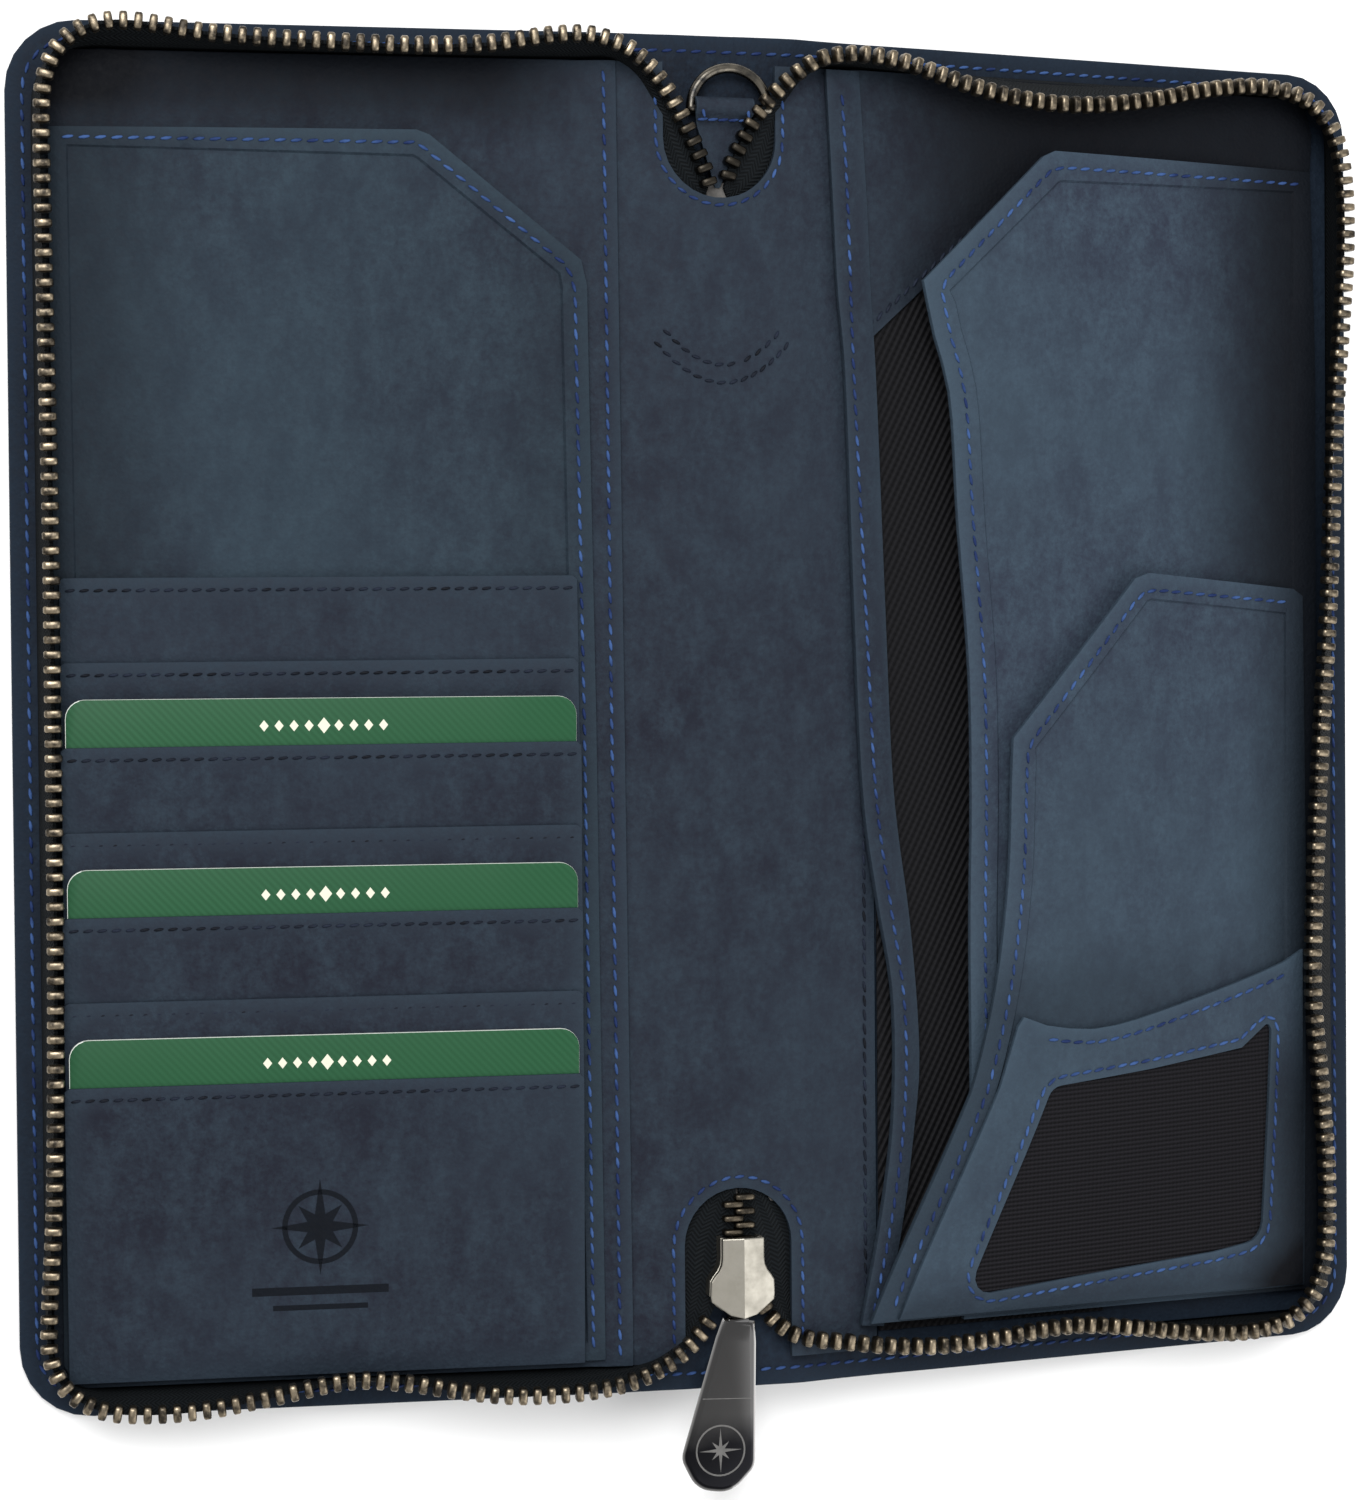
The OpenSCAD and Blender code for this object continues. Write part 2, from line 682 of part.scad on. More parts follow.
module pocket_facing() color(leather_blue) on_cover(1) plate(panel_h, facing_t) facing_line(0);

module pocket_twill() {
    color(cloth_black) on_cover(1) plate(panel_h, cloth_t) difference() {
        translate([facing_in, pocket_tail]) square([pocket_out - facing_in, facing_top - pocket_tail]);
        facing_line(stack_gap);
    }
}

module large_pocket() {
    color(leather_blue) on_cover(1) tipped(pocket_out, large_h, large_tilt) plate(0, panel_t)
        polygon([[large_in - 1, pocket_tail], [large_in + 0.5, -20], [large_in, 8],
                 [large_in - 3, half_h * 0.38], [large_in - 6.5, half_h * 0.56],
                 [large_in - 8.5, half_h * 0.64], [large_in + 17, panel_head],
                 [pocket_out, panel_head], [pocket_out, pocket_tail]]);
}

// A wall of folded twill across the pocket's foot, from one height line to another
module foot_wall(u0, u1, v, low0, low1, high0, high1) {
    translate([0, v, 0]) rotate([90, 0, 0]) linear_extrude(0.9)
        polygon([[u0, low0], [u1, low1], [u1, high1], [u0, high0]]);
}

function large_under(u) = large_h + (pocket_out - u) * tan(large_tilt);
function large_over(u) = large_under(u) + panel_t + 2 * stack_gap;
function small_under(u) = small_h + (small_out - u) * tan(small_tilt);

module large_pocket_gusset() {
    u0 = large_in + 1;
    u1 = pocket_out - 0.5;
    low = panel_h;
    color(cloth_black) on_cover(1)
        foot_wall(u0, u1, pocket_tail - stack_gap, low, low, large_under(u0), large_under(u1));
}

module small_pocket_plan(inset) {
    polygon([[14 + inset, small_tail + inset], [28 + inset, small_tail + 35],
             [32 + inset, small_tail + 43], [small_in - 1 + inset, small_tail + 60],
             [small_in + inset, small_head - 53], [small_in + 1.5 + inset, small_head - 29],
             [small_in + 28 + inset, small_head - inset], [small_out - inset, small_head - 1 - inset],
             [small_out - inset, small_tail + inset]]);
}

module small_pocket() {
    color(leather_blue) on_cover(1) tipped(small_out, small_h, small_tilt) plate(0, panel_t)
        small_pocket_plan(0);
}

module small_pocket_gusset() {
    u0 = large_in + 2;
    u1 = small_out - 0.5;
    color(cloth_black) on_cover(1)
        foot_wall(u0, u1, small_tail - stack_gap, large_over(u0), large_over(u1),
                  small_under(u0), small_under(u1));
}

id_head = small_head - 71;
mesh_from = panel_t + stack_gap;
frame_from = mesh_from + cloth_t + stack_gap;

// The window: straight foot and fore side, a slanting spine side and a dipped head
module id_window(grow) {
    foot = small_tail + 8 - grow;
    polygon(concat(arc(34 - grow, foot + 3, 3, 180, 270), arc(small_out - 8 + grow, foot + 6, 4, 270, 360),
                   arc(small_out - 6 + grow, id_head - 6 + grow, 2, 0, 90),
                   [[68, id_head - 13 + grow], [47, id_head - 15 + grow]]));
}

module id_pocket_frame() {
    color(hem_blue) on_cover(1) tipped(small_out, small_h, small_tilt)
        plate(frame_from, 0.8) difference() {
            intersection() {
                small_pocket_plan(0.3);
                polygon([[0, small_tail], [small_out, small_tail], [small_out, id_head + 2],
                         [small_out - 28, id_head - 4], [53, id_head - 6.5], [small_in + 2, id_head - 4],
                         [small_in - 6, id_head - 12], [0, id_head - 30]]);
            }
            id_window(0);
        }
}

module id_window_mesh() {
    color(cloth_black) on_cover(1) tipped(small_out, small_h, small_tilt) plate(mesh_from, cloth_t)
        id_window(1.5);
}

module left_leather() cover_leather(-1);
module left_board() cover_board(-1);
module left_lining() cover_lining(-1);
module left_tape() cover_tape(-1);
module left_teeth() cover_teeth(-1);
module right_leather() cover_leather(1);
module right_board() cover_board(1);
module right_lining() cover_lining(1);
module right_tape() cover_tape(1);
module right_teeth() cover_teeth(1);

spine_leather();
spine_board();
spine_lining();
ring_tab();
head_tape();
head_teeth();
tail_tape();
tail_teeth();
closed_chain();
bottom_stop();
d_ring();
slider_body();
puller();
left_leather();
left_board();
left_lining();
left_tape();
left_teeth();
slip_pocket_panel();
card_slot_1();
card_slot_2();
card_slot_3();
card_slot_4();
card_slot_5();
card_slot_6();
card_slot_7();
card_1();
card_2();
card_3();
right_leather();
right_board();
right_lining();
right_tape();
right_teeth();
pocket_edge_strip();
pocket_facing();
pocket_twill();
large_pocket();
large_pocket_gusset();
small_pocket();
small_pocket_gusset();
id_pocket_frame();
id_window_mesh();
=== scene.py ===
import json
import math

import bpy
from mathutils import Matrix, Vector


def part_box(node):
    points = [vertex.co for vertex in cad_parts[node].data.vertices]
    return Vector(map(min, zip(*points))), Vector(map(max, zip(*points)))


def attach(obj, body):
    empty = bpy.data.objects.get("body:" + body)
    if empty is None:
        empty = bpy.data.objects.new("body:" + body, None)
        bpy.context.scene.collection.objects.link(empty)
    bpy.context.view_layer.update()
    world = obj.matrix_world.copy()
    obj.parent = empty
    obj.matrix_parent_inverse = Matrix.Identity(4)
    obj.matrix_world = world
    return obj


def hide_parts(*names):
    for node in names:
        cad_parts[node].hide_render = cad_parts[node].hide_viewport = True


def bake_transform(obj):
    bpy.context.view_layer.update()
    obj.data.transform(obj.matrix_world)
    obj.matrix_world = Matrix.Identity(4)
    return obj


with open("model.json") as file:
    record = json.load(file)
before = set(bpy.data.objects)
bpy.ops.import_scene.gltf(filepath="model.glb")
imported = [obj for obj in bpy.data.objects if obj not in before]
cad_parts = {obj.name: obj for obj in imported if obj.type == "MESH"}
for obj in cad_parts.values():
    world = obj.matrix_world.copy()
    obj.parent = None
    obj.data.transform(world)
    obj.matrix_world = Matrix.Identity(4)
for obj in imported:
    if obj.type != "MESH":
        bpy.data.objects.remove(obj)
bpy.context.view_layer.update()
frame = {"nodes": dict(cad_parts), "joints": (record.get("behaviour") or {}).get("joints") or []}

# ---- The studio ----
# The wallet lies open on a pale sweep under one large soft lamp and a weak fill.
# The camera looks down on it from above the left cover.
MM = 0.001
spine_low, spine_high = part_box("spine_leather")
lift = spine_low.z / MM
middle_y = (spine_low.y + spine_high.y) / 2 / MM
half_height = (spine_high.y - spine_low.y) / 2 / MM

camera = bpy.data.objects.new("camera", bpy.data.cameras.new("camera"))
bpy.context.collection.objects.link(camera)
camera.data.sensor_width = 36
camera.data.lens = 82
camera.data.clip_start = 0.01
camera_place = Vector((-176.3, 7.5 + middle_y, 569.3 + lift)) * MM
camera_turn = (Matrix.Rotation(math.radians(-16.25), 4, "Y") @ Matrix.Rotation(math.radians(-1.31), 4, "X")
               @ Matrix.Rotation(math.radians(-0.45), 4, "Z"))
camera.matrix_world = Matrix.Translation(camera_place) @ camera_turn
bpy.context.scene.camera = camera


def add_lamp(name, place, size, power):
    lamp = bpy.data.objects.new(name, bpy.data.lights.new(name, "AREA"))
    bpy.context.collection.objects.link(lamp)
    lamp.data.size = size
    lamp.data.energy = power
    lamp.location = place
    lamp.rotation_euler = (-Vector(place)).to_track_quat("-Z", "Y").to_euler()


add_lamp("key_lamp", (-0.35, 0.55, 1.0), 0.7, 15)
add_lamp("fill_lamp", (0.7, -0.5, 0.8), 1.0, 6)
world = bpy.data.worlds.new("studio")
world.use_nodes = True
world.node_tree.nodes["Background"].inputs["Color"].default_value = (1, 1, 1, 1)
world.node_tree.nodes["Background"].inputs["Strength"].default_value = 0.8
bpy.context.scene.world = world
bpy.context.scene.view_settings.view_transform = "Standard"


def deselect():
    bpy.ops.object.select_all(action="DESELECT")


deselect()
bpy.ops.mesh.primitive_plane_add(size=6, location=(0, 0, -0.0003))
floor = bpy.context.object
floor.name = "floor"


def add_node(tree, kind, links=(), **values):
    """A shader node with its settings, its inputs' values and what is linked into it"""
    node = tree.nodes.new(kind)
    for key, value in values.items():
        if hasattr(node, key):
            setattr(node, key, value)
        else:
            node.inputs[key.replace("_", " ")].default_value = value
    for socket, source in dict(links).items():
        tree.links.new(source, node.inputs[socket])
    return node


def mix_colours(tree, share, first, second):
    """The colour between two, which are each a plain colour or another node's output"""
    node = add_node(tree, "ShaderNodeMix", {0: share}, data_type="RGBA")
    for socket, colour in ((6, first), (7, second)):
        if isinstance(colour, tuple):
            node.inputs[socket].default_value = (*colour, 1)
        else:
            tree.links.new(colour, node.inputs[socket])
    return node.outputs[2]


def new_material(name, roughness=0.5, metallic=0.0, specular=0.5, colour=(0.5, 0.5, 0.5)):
    material = bpy.data.materials.new(name)
    material.use_nodes = True
    shader = material.node_tree.nodes["Principled BSDF"]
    shader.inputs["Roughness"].default_value = roughness
    shader.inputs["Metallic"].default_value = metallic
    shader.inputs["Specular IOR Level"].default_value = specular
    shader.inputs["Base Color"].default_value = (*colour, 1)
    return material, material.node_tree, shader


floor_paint = new_material("floor_paint", 0.85, 0, 0.2, (0.86, 0.86, 0.86))[0]
floor.data.materials.append(floor_paint)

# ---- How the open wallet lies ----
# All pieces are first laid out in the plan of the wallet opened flat, in millimetres: x from
# the spine's middle, y towards the head, and h above the leather's outer face. The covers then
# droop at the two folds, turning round an axis just above the lining.
left_fold = next(j for j in frame["joints"] if j["name"] == "left_fold")
fold_x = -left_fold["pos_m"][0] / MM
fold_h = left_fold["pos_m"][2] / MM - lift
fold_in, fold_out = 1.0, 5.5
droop = math.radians(6.5)
leather_t = 1.4
lining_top = 3.8
cover_width = 115.0
edge_x = fold_x + cover_width


def ease(t):
    t = min(1, max(0, t))
    return t * t * (3 - 2 * t)


def lay(x, y, h):
    """Where a point of the flat plan lies in the open wallet, in metres"""
    side = -1 if x < 0 else 1
    turn = droop * ease((abs(x) - fold_x + fold_in) / (fold_in + fold_out))
    out, up = abs(x) - fold_x, h - fold_h
    return Vector((side * (fold_x + out * math.cos(turn) + up * math.sin(turn)), y + middle_y,
                   lift + fold_h - out * math.sin(turn) + up * math.cos(turn))) * MM


def bend_at_fold(piece):
    """Bakes a piece's placement into its mesh; a piece that crosses a fold was already bent there by lay,
    between the spine and its cover
    """
    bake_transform(piece)


# ---- Leather: its finish and painted shade, and how a panel is cut ----
# Oil-tanned hide, dyed navy and rubbed back, so it is cloudy, with paler raised edges. Shade is
# painted into it: a per-vertex attribute takes it to near black in the shade of the zip and the
# standing tape, and gives pressed marks their own darker tone. Each panel is cut to its outline,
# its hem is turned over, and it is pressed to the shape it has in the wallet.


def new_group(name, inputs, outputs):
    group = bpy.data.node_groups.new(name, "ShaderNodeTree")
    for label, kind in inputs:
        group.interface.new_socket(label, in_out="INPUT", socket_type=kind)
    for label, kind in outputs:
        group.interface.new_socket(label, in_out="OUTPUT", socket_type=kind)
    return group, group.nodes.new("NodeGroupInput"), group.nodes.new("NodeGroupOutput")


def rubbed_hide_group():
    """Clouds of dye, rubbed streaks, worn edges, a fine grain, and painted shade towards near black from a
    per-vertex attribute
    """
    group, given, made = new_group("rubbed_hide", [
        ("Dye", "NodeSocketColor"), ("Deep", "NodeSocketColor"), ("Worn", "NodeSocketColor"),
        ("Cloud size", "NodeSocketFloat"), ("Edge wear", "NodeSocketFloat"),
        ("Grain height", "NodeSocketFloat")],
        [("Color", "NodeSocketColor"), ("Roughness", "NodeSocketFloat"), ("Normal", "NodeSocketVector")])
    place = add_node(group, "ShaderNodeTexCoord").outputs["Object"]
    cloud = add_node(group, "ShaderNodeTexNoise", {"Vector": place, "Scale": given.outputs["Cloud size"]},
                     Detail=4.0, Roughness=0.55, Distortion=0.4)
    stretch = add_node(group, "ShaderNodeMapping", {"Vector": place}, Scale=(170, 95, 120))
    streak = add_node(group, "ShaderNodeTexNoise", {"Vector": stretch.outputs["Vector"]}, Scale=1.0,
                      Detail=8.0, Roughness=0.72)
    mottle = add_node(group, "ShaderNodeTexNoise", {"Vector": place}, Scale=760.0, Detail=8.0, Roughness=0.78)
    grain = add_node(group, "ShaderNodeTexVoronoi", {"Vector": place}, Scale=1500.0)
    rim = add_node(group, "ShaderNodeAttribute", attribute_name="rim")
    clouds = add_node(group, "ShaderNodeMapRange", {"Value": cloud.outputs["Fac"]},
                      From_Min=0.36, From_Max=0.66)
    dyed = mix_colours(group, clouds.outputs["Result"], given.outputs["Deep"], given.outputs["Dye"])
    rubbed = add_node(group, "ShaderNodeMath", {0: streak.outputs["Fac"], 1: mottle.outputs["Fac"]},
                      operation="MULTIPLY")
    rub_mask = add_node(group, "ShaderNodeMapRange", {"Value": rubbed.outputs[0]}, From_Min=0.17,
                        From_Max=0.36, To_Max=0.75)
    edge = add_node(group, "ShaderNodeMath", {0: rim.outputs["Fac"], 1: given.outputs["Edge wear"]},
                    operation="MULTIPLY")
    edge_broken = add_node(group, "ShaderNodeMapRange", {"Value": mottle.outputs["Fac"]}, From_Min=0.3,
                           From_Max=0.6, To_Min=0.45)
    edge_mask = add_node(group, "ShaderNodeMath", {0: edge.outputs[0], 1: edge_broken.outputs["Result"]},
                         operation="MULTIPLY")
    worn = add_node(group, "ShaderNodeMath", {0: rub_mask.outputs["Result"], 1: edge_mask.outputs[0]},
                    operation="MAXIMUM")
    worn_dye = mix_colours(group, worn.outputs[0], dyed, given.outputs["Worn"])
    # Painted shade: a per-vertex attribute takes the colour towards near black; on pressed marks it sets
    # their own darker tone
    painted_shade_and_tone = add_node(group, "ShaderNodeAttribute", attribute_name="painted_shade_and_tone")
    dye_with_painted_shade_and_tone = mix_colours(group, painted_shade_and_tone.outputs["Fac"], worn_dye, (0.0025, 0.003, 0.0045))
    rough = add_node(group, "ShaderNodeMapRange", {"Value": mottle.outputs["Fac"]}, From_Min=0.3,
                     From_Max=0.7, To_Min=0.55, To_Max=0.8)
    pores = add_node(group, "ShaderNodeMath", {0: grain.outputs["Distance"], 1: mottle.outputs["Fac"]},
                     operation="MULTIPLY_ADD")
    group.links.new(streak.outputs["Fac"], pores.inputs[2])
    bump = add_node(group, "ShaderNodeBump", {"Height": pores.outputs[0],
                                              "Strength": given.outputs["Grain height"]}, Distance=0.00022)
    group.links.new(dye_with_painted_shade_and_tone, made.inputs["Color"])
    group.links.new(rough.outputs["Result"], made.inputs["Roughness"])
    group.links.new(bump.outputs["Normal"], made.inputs["Normal"])
    return group


rubbed_hide = rubbed_hide_group()


def hide_material(name, dye, deep, worn, cloud_size=16.0, edge_wear=0.8, grain_height=0.6):
    material, tree, shader = new_material(name, specular=0.07)
    hide_colour_and_painted_shade = tree.nodes.new("ShaderNodeGroup")
    hide_colour_and_painted_shade.node_tree = rubbed_hide
    for label, colour in (("Dye", dye), ("Deep", deep), ("Worn", worn)):
        hide_colour_and_painted_shade.inputs[label].default_value = (*colour, 1)
    hide_colour_and_painted_shade.inputs["Cloud size"].default_value = cloud_size
    hide_colour_and_painted_shade.inputs["Edge wear"].default_value = edge_wear
    hide_colour_and_painted_shade.inputs["Grain height"].default_value = grain_height
    tree.links.new(hide_colour_and_painted_shade.outputs["Color"], shader.inputs["Base Color"])
    tree.links.new(hide_colour_and_painted_shade.outputs["Roughness"], shader.inputs["Roughness"])
    tree.links.new(hide_colour_and_painted_shade.outputs["Normal"], shader.inputs["Normal"])
    return material


navy_hide = hide_material("navy_hide", (0.0145, 0.0190, 0.0285), (0.0095, 0.0108, 0.0178),
                          (0.021, 0.032, 0.045))
# The slip pocket's hide is the right pockets' pale hide painted about a third darker: painted shade over the
# whole left pocket
slip_hide_painted_shade = hide_material("slip_pocket_hide_painted_shade", (0.0170, 0.0260, 0.0370), (0.0115, 0.0145, 0.0230),
                          (0.025, 0.040, 0.054), cloud_size=11)
pale_hide = hide_material("pale_navy_hide", (0.027, 0.0405, 0.057), (0.0185, 0.023, 0.037),
                          (0.036, 0.056, 0.078), cloud_size=13)
# Navy hide painted darker, to near black: the extra darkness is painted shade, matched to hide lying in the
# zip's shade
dark_hide_painted_shade = hide_material("navy_hide_darkened_by_painted_shade", (0.0065, 0.0095, 0.0165), (0.004, 0.0052, 0.009),
                          (0.0125, 0.021, 0.034), cloud_size=20)


def rounded(corners, steps=6):
    """An outline from corners (x, y, radius), taken anticlockwise"""
    outline = []
    for i, (x, y, radius) in enumerate(corners):
        corner = Vector((x, y))
        if not radius:
            outline.append(corner)
            continue
        back = (Vector(corners[i - 1][:2]) - corner).normalized()
        on = (Vector(corners[(i + 1) % len(corners)][:2]) - corner).normalized()
        half = back.angle(on) / 2
        centre = corner + (back + on).normalized() * radius / math.sin(half)
        first = corner + back * radius / math.tan(half) - centre
        last = corner + on * radius / math.tan(half) - centre
        sweep = first.angle_signed(last)
        for k in range(steps + 1):
            outline.append(centre + Matrix.Rotation(-sweep * k / steps, 2) @ first)
    return outline


def through(points, step=3.0):
    """A smooth line through a few points, with a place every few millimetres"""
    points = [Vector(p) for p in points]
    fine = []
    for i in range(len(points) - 1):
        a, b, c, d = points[max(i - 1, 0)], points[i], points[i + 1], points[min(i + 2, len(points) - 1)]
        for k in range(10):
            t = k / 10
            fine.append((2 * b + (c - a) * t + (2 * a - 5 * b + 4 * c - d) * t ** 2
                         + (3 * b - a - 3 * c + d) * t ** 3) / 2)
    return evenly(fine + [points[-1]], step)


def evenly(line, step):
    """Places along a line, about one step apart"""
    lengths = [(b - a).length for a, b in zip(line, line[1:])]
    count = max(1, round(sum(lengths) / step))
    places, walked, i = [], 0.0, 0
    for k in range(count):
        target = sum(lengths) * k / count
        while i < len(lengths) - 1 and walked + lengths[i] < target:
            walked += lengths[i]
            i += 1
        places.append(line[i].lerp(line[i + 1], (target - walked) / max(lengths[i], 1e-9)))
    return places + [line[-1]]


def rim_distance(point, outline):
    """How far a place in a panel is from the panel's cut edge"""
    nearest = 1e9
    for a, b in zip(outline, outline[1:] + outline[:1]):
        run = b - a
        share = min(1, max(0, (point - a).dot(run) / max(run.length_squared, 1e-9)))
        nearest = min(nearest, (point - a - run * share).length)
    return nearest


def cut_hole(panel, hole):
    """Fills the hide between a panel's outline and the outline of a hole in it"""
    bpy.ops.mesh.primitive_circle_add(vertices=len(hole), fill_type="NOTHING")
    inner = bpy.context.object
    for vert, place in zip(inner.data.vertices, hole):
        vert.co = (*place, 0)
    deselect()
    inner.select_set(True)
    panel.select_set(True)
    bpy.context.view_layer.objects.active = panel
    bpy.ops.object.join()
    bpy.ops.object.mode_set(mode="EDIT")
    bpy.ops.mesh.select_all(action="SELECT")
    bpy.ops.mesh.fill()
    bpy.ops.object.mode_set(mode="OBJECT")


def cut_panel(name, outline, cell=6.0, hem=0.0, sunk=0.3, wear=5.0, hole=None, painted_shade_and_tone=None,
              folds=()):
    """A panel cut to its outline and laid flat, with a proud hem and score lines that let it bend"""
    deselect()
    bpy.ops.mesh.primitive_circle_add(vertices=len(outline), fill_type="NOTHING" if hole else "NGON")
    panel = bpy.context.object
    panel.name = name
    for vert, place in zip(panel.data.vertices, outline):
        vert.co = (*place, 0)
    if hole:
        cut_hole(panel, hole)
    panel.data.update()
    bpy.ops.object.mode_set(mode="EDIT")
    bpy.ops.mesh.select_all(action="SELECT")
    if panel.data.polygons[0].normal.z < 0:
        bpy.ops.mesh.flip_normals()
    if hem:
        bpy.ops.mesh.inset(thickness=hem, depth=0, use_even_offset=False)
        bpy.ops.mesh.inset(thickness=0.4, depth=-sunk, use_even_offset=False)
    for axis in (0, 1):
        low = min(place[axis] for place in outline)
        high = max(place[axis] for place in outline)
        count = max(1, round((high - low) / cell))
        normal = (1, 0, 0) if axis == 0 else (0, 1, 0)
        for k in range(1, count):
            score = [0, 0, 0]
            score[axis] = low + (high - low) * k / count
            bpy.ops.mesh.select_all(action="SELECT")
            bpy.ops.mesh.bisect(plane_co=score, plane_no=normal)
    for x in folds:
        bpy.ops.mesh.select_all(action="SELECT")
        bpy.ops.mesh.bisect(plane_co=(x, 0, 0), plane_no=(1, 0, 0))
    bpy.ops.object.mode_set(mode="OBJECT")
    rim = panel.data.attributes.new("rim", "FLOAT", "POINT")
    for vert, value in zip(panel.data.vertices, rim.data):
        away = min(rim_distance(vert.co.xy, cut) for cut in (outline, hole) if cut)
        value.value = ease(1 - away / wear)
    # A per-vertex value that takes the hide towards near black: painted shade on the cover panels, and their
    # own darker tone on pressed marks
    if painted_shade_and_tone:
        dark = panel.data.attributes.new("painted_shade_and_tone", "FLOAT", "POINT")
        for vert, value in zip(panel.data.vertices, dark.data):
            value.value = painted_shade_and_tone(vert.co.x, vert.co.y)
    return panel


def apply_modifiers(piece):
    deselect()
    piece.select_set(True)
    bpy.context.view_layer.objects.active = piece
    for modifier in list(piece.modifiers):
        bpy.ops.object.modifier_apply(modifier=modifier.name)


def smooth_shade(piece, angle=40):
    deselect()
    piece.select_set(True)
    bpy.context.view_layer.objects.active = piece
    bpy.ops.object.shade_smooth_by_angle(angle=math.radians(angle))


def close_middle(panel, edge):
    """Squares off the rounded edge along the middle line, where the two halves of a hide meet"""
    for vert in panel.data.vertices:
        if abs(vert.co.x) < (edge + 0.05) * MM:
            vert.co.x = 0
    smooth_shade(panel)


def press(panel, height, thick, material, edge=0.3):
    """Presses a flat panel to its place in the wallet, top face at the height given, and rounds its edges"""
    for vert in panel.data.vertices:
        x, y, step = vert.co
        vert.co = lay(x, y, height(x, y) + step)
    body = panel.modifiers.new("thickness", "SOLIDIFY")
    body.thickness = thick * MM
    body.offset = -1
    if edge:
        rounding = panel.modifiers.new("edges", "BEVEL")
        rounding.width = edge * MM
        rounding.segments = 2
        rounding.limit_method = "ANGLE"
        rounding.angle_limit = math.radians(55)
    apply_modifiers(panel)
    smooth_shade(panel)
    panel.data.materials.clear()
    panel.data.materials.append(material)
    return panel


# ---- Thread ----
# Waxed polyester thread, bright blue on the hems and near black on the slots. Each stitch
# is a short bead of thread that dips into the leather at both ends and lies a little askew.
def thread_material(name, light, dark):
    material, tree, shader = new_material(name, 0.6, 0, 0.1)
    place = add_node(tree, "ShaderNodeTexCoord").outputs["Object"]
    vary = add_node(tree, "ShaderNodeTexNoise", {"Vector": place}, Scale=170.0, Detail=2.0)
    twist = add_node(tree, "ShaderNodeTexNoise", {"Vector": place}, Scale=2600.0, Detail=3.0)
    mask = add_node(tree, "ShaderNodeMapRange", {"Value": vary.outputs["Fac"]}, From_Min=0.4, From_Max=0.62)
    tree.links.new(mix_colours(tree, mask.outputs["Result"], dark, light), shader.inputs["Base Color"])
    bump = add_node(tree, "ShaderNodeBump", {"Height": twist.outputs["Fac"]}, Strength=0.5, Distance=0.0001)
    tree.links.new(bump.outputs["Normal"], shader.inputs["Normal"])
    return material


blue_thread = thread_material("blue_thread", (0.034, 0.074, 0.195), (0.009, 0.019, 0.070))
dark_thread = thread_material("dark_thread", (0.010, 0.014, 0.026), (0.003, 0.004, 0.007))

deselect()
bpy.ops.mesh.primitive_uv_sphere_add(segments=6, ring_count=4, radius=1)
stitch_bead = bpy.context.object
bpy.ops.object.mode_set(mode="EDIT")
bpy.ops.transform.rotate(value=math.pi / 2, orient_axis="Y", center_override=(0, 0, 0))
bpy.ops.object.mode_set(mode="OBJECT")


def copies(name, pattern, places):
    """One mesh of many copies of a small pattern piece, each turned and set in its own place"""
    verts, faces = [], []
    for place in places:
        first = len(verts)
        verts += [lay(*(place @ vert.co)) for vert in pattern.data.vertices]
        faces += [[first + i for i in face.vertices] for face in pattern.data.polygons]
    mesh = bpy.data.meshes.new(name)
    mesh.from_pydata(verts, [], faces)
    piece = bpy.data.objects.new(name, mesh)
    bpy.context.collection.objects.link(piece)
    deselect()
    piece.select_set(True)
    bpy.context.view_layer.objects.active = piece
    bpy.ops.object.mode_set(mode="EDIT")
    bpy.ops.mesh.select_all(action="SELECT")
    bpy.ops.mesh.normals_make_consistent(inside=False)
    bpy.ops.object.mode_set(mode="OBJECT")
    return piece


def stitch_places(line, height, pitch=2.7, long=1.05, wide=0.3, high=0.28, askew=9):
    """Where each stitch of a seam lies along its line"""
    spots = evenly([Vector(p[:2]) for p in line], pitch)
    places = []
    for a, b in zip(spots, spots[1:]):
        middle = (a + b) / 2
        turn = math.atan2(b.y - a.y, b.x - a.x) + math.radians(askew)
        places.append(Matrix.Translation((*middle, height(*middle) + 0.08)) @ Matrix.Rotation(turn, 4, "Z")
                      @ Matrix.Diagonal((long, wide, high, 1)))
    return places


def sew(name, seams, height, thread, slot="leather", **size):
    """One piece with all the stitches of a group of seams"""
    places = [place for line in seams for place in stitch_places(line, height, **size)]
    stitches = copies(name, stitch_bead, places)
    smooth_shade(stitches, 60)
    stitches.data.materials.append(thread)
    return stitches


# ---- Outer leather ----
# One piece of hide wraps both covers and the spine, with rounded corners. It is made here in
# two halves that meet along the spine's middle and bend at their own fold. A blue seam runs
# round the margin, where the zip tape is sewn under it.
corner_r = 12.0
margin_seam = 2.9


def flat_at(h):
    return lambda x, y: h


def fold_scores(side):
    """Close score lines over a fold, so that the hide turns round it smoothly"""
    return [side * (fold_x - fold_in + k * (fold_in + fold_out) / 8) for k in range(9)]


def ripple(x, y):
    """The soft margin outside the tape is a little wavy, most of all at the spine's two ends"""
    edge = ease((abs(y) - half_height + 7) / 7)
    return leather_t + edge * (0.35 * math.sin(x / 6.5) - 0.1) * ease((40 - abs(x)) / 30)


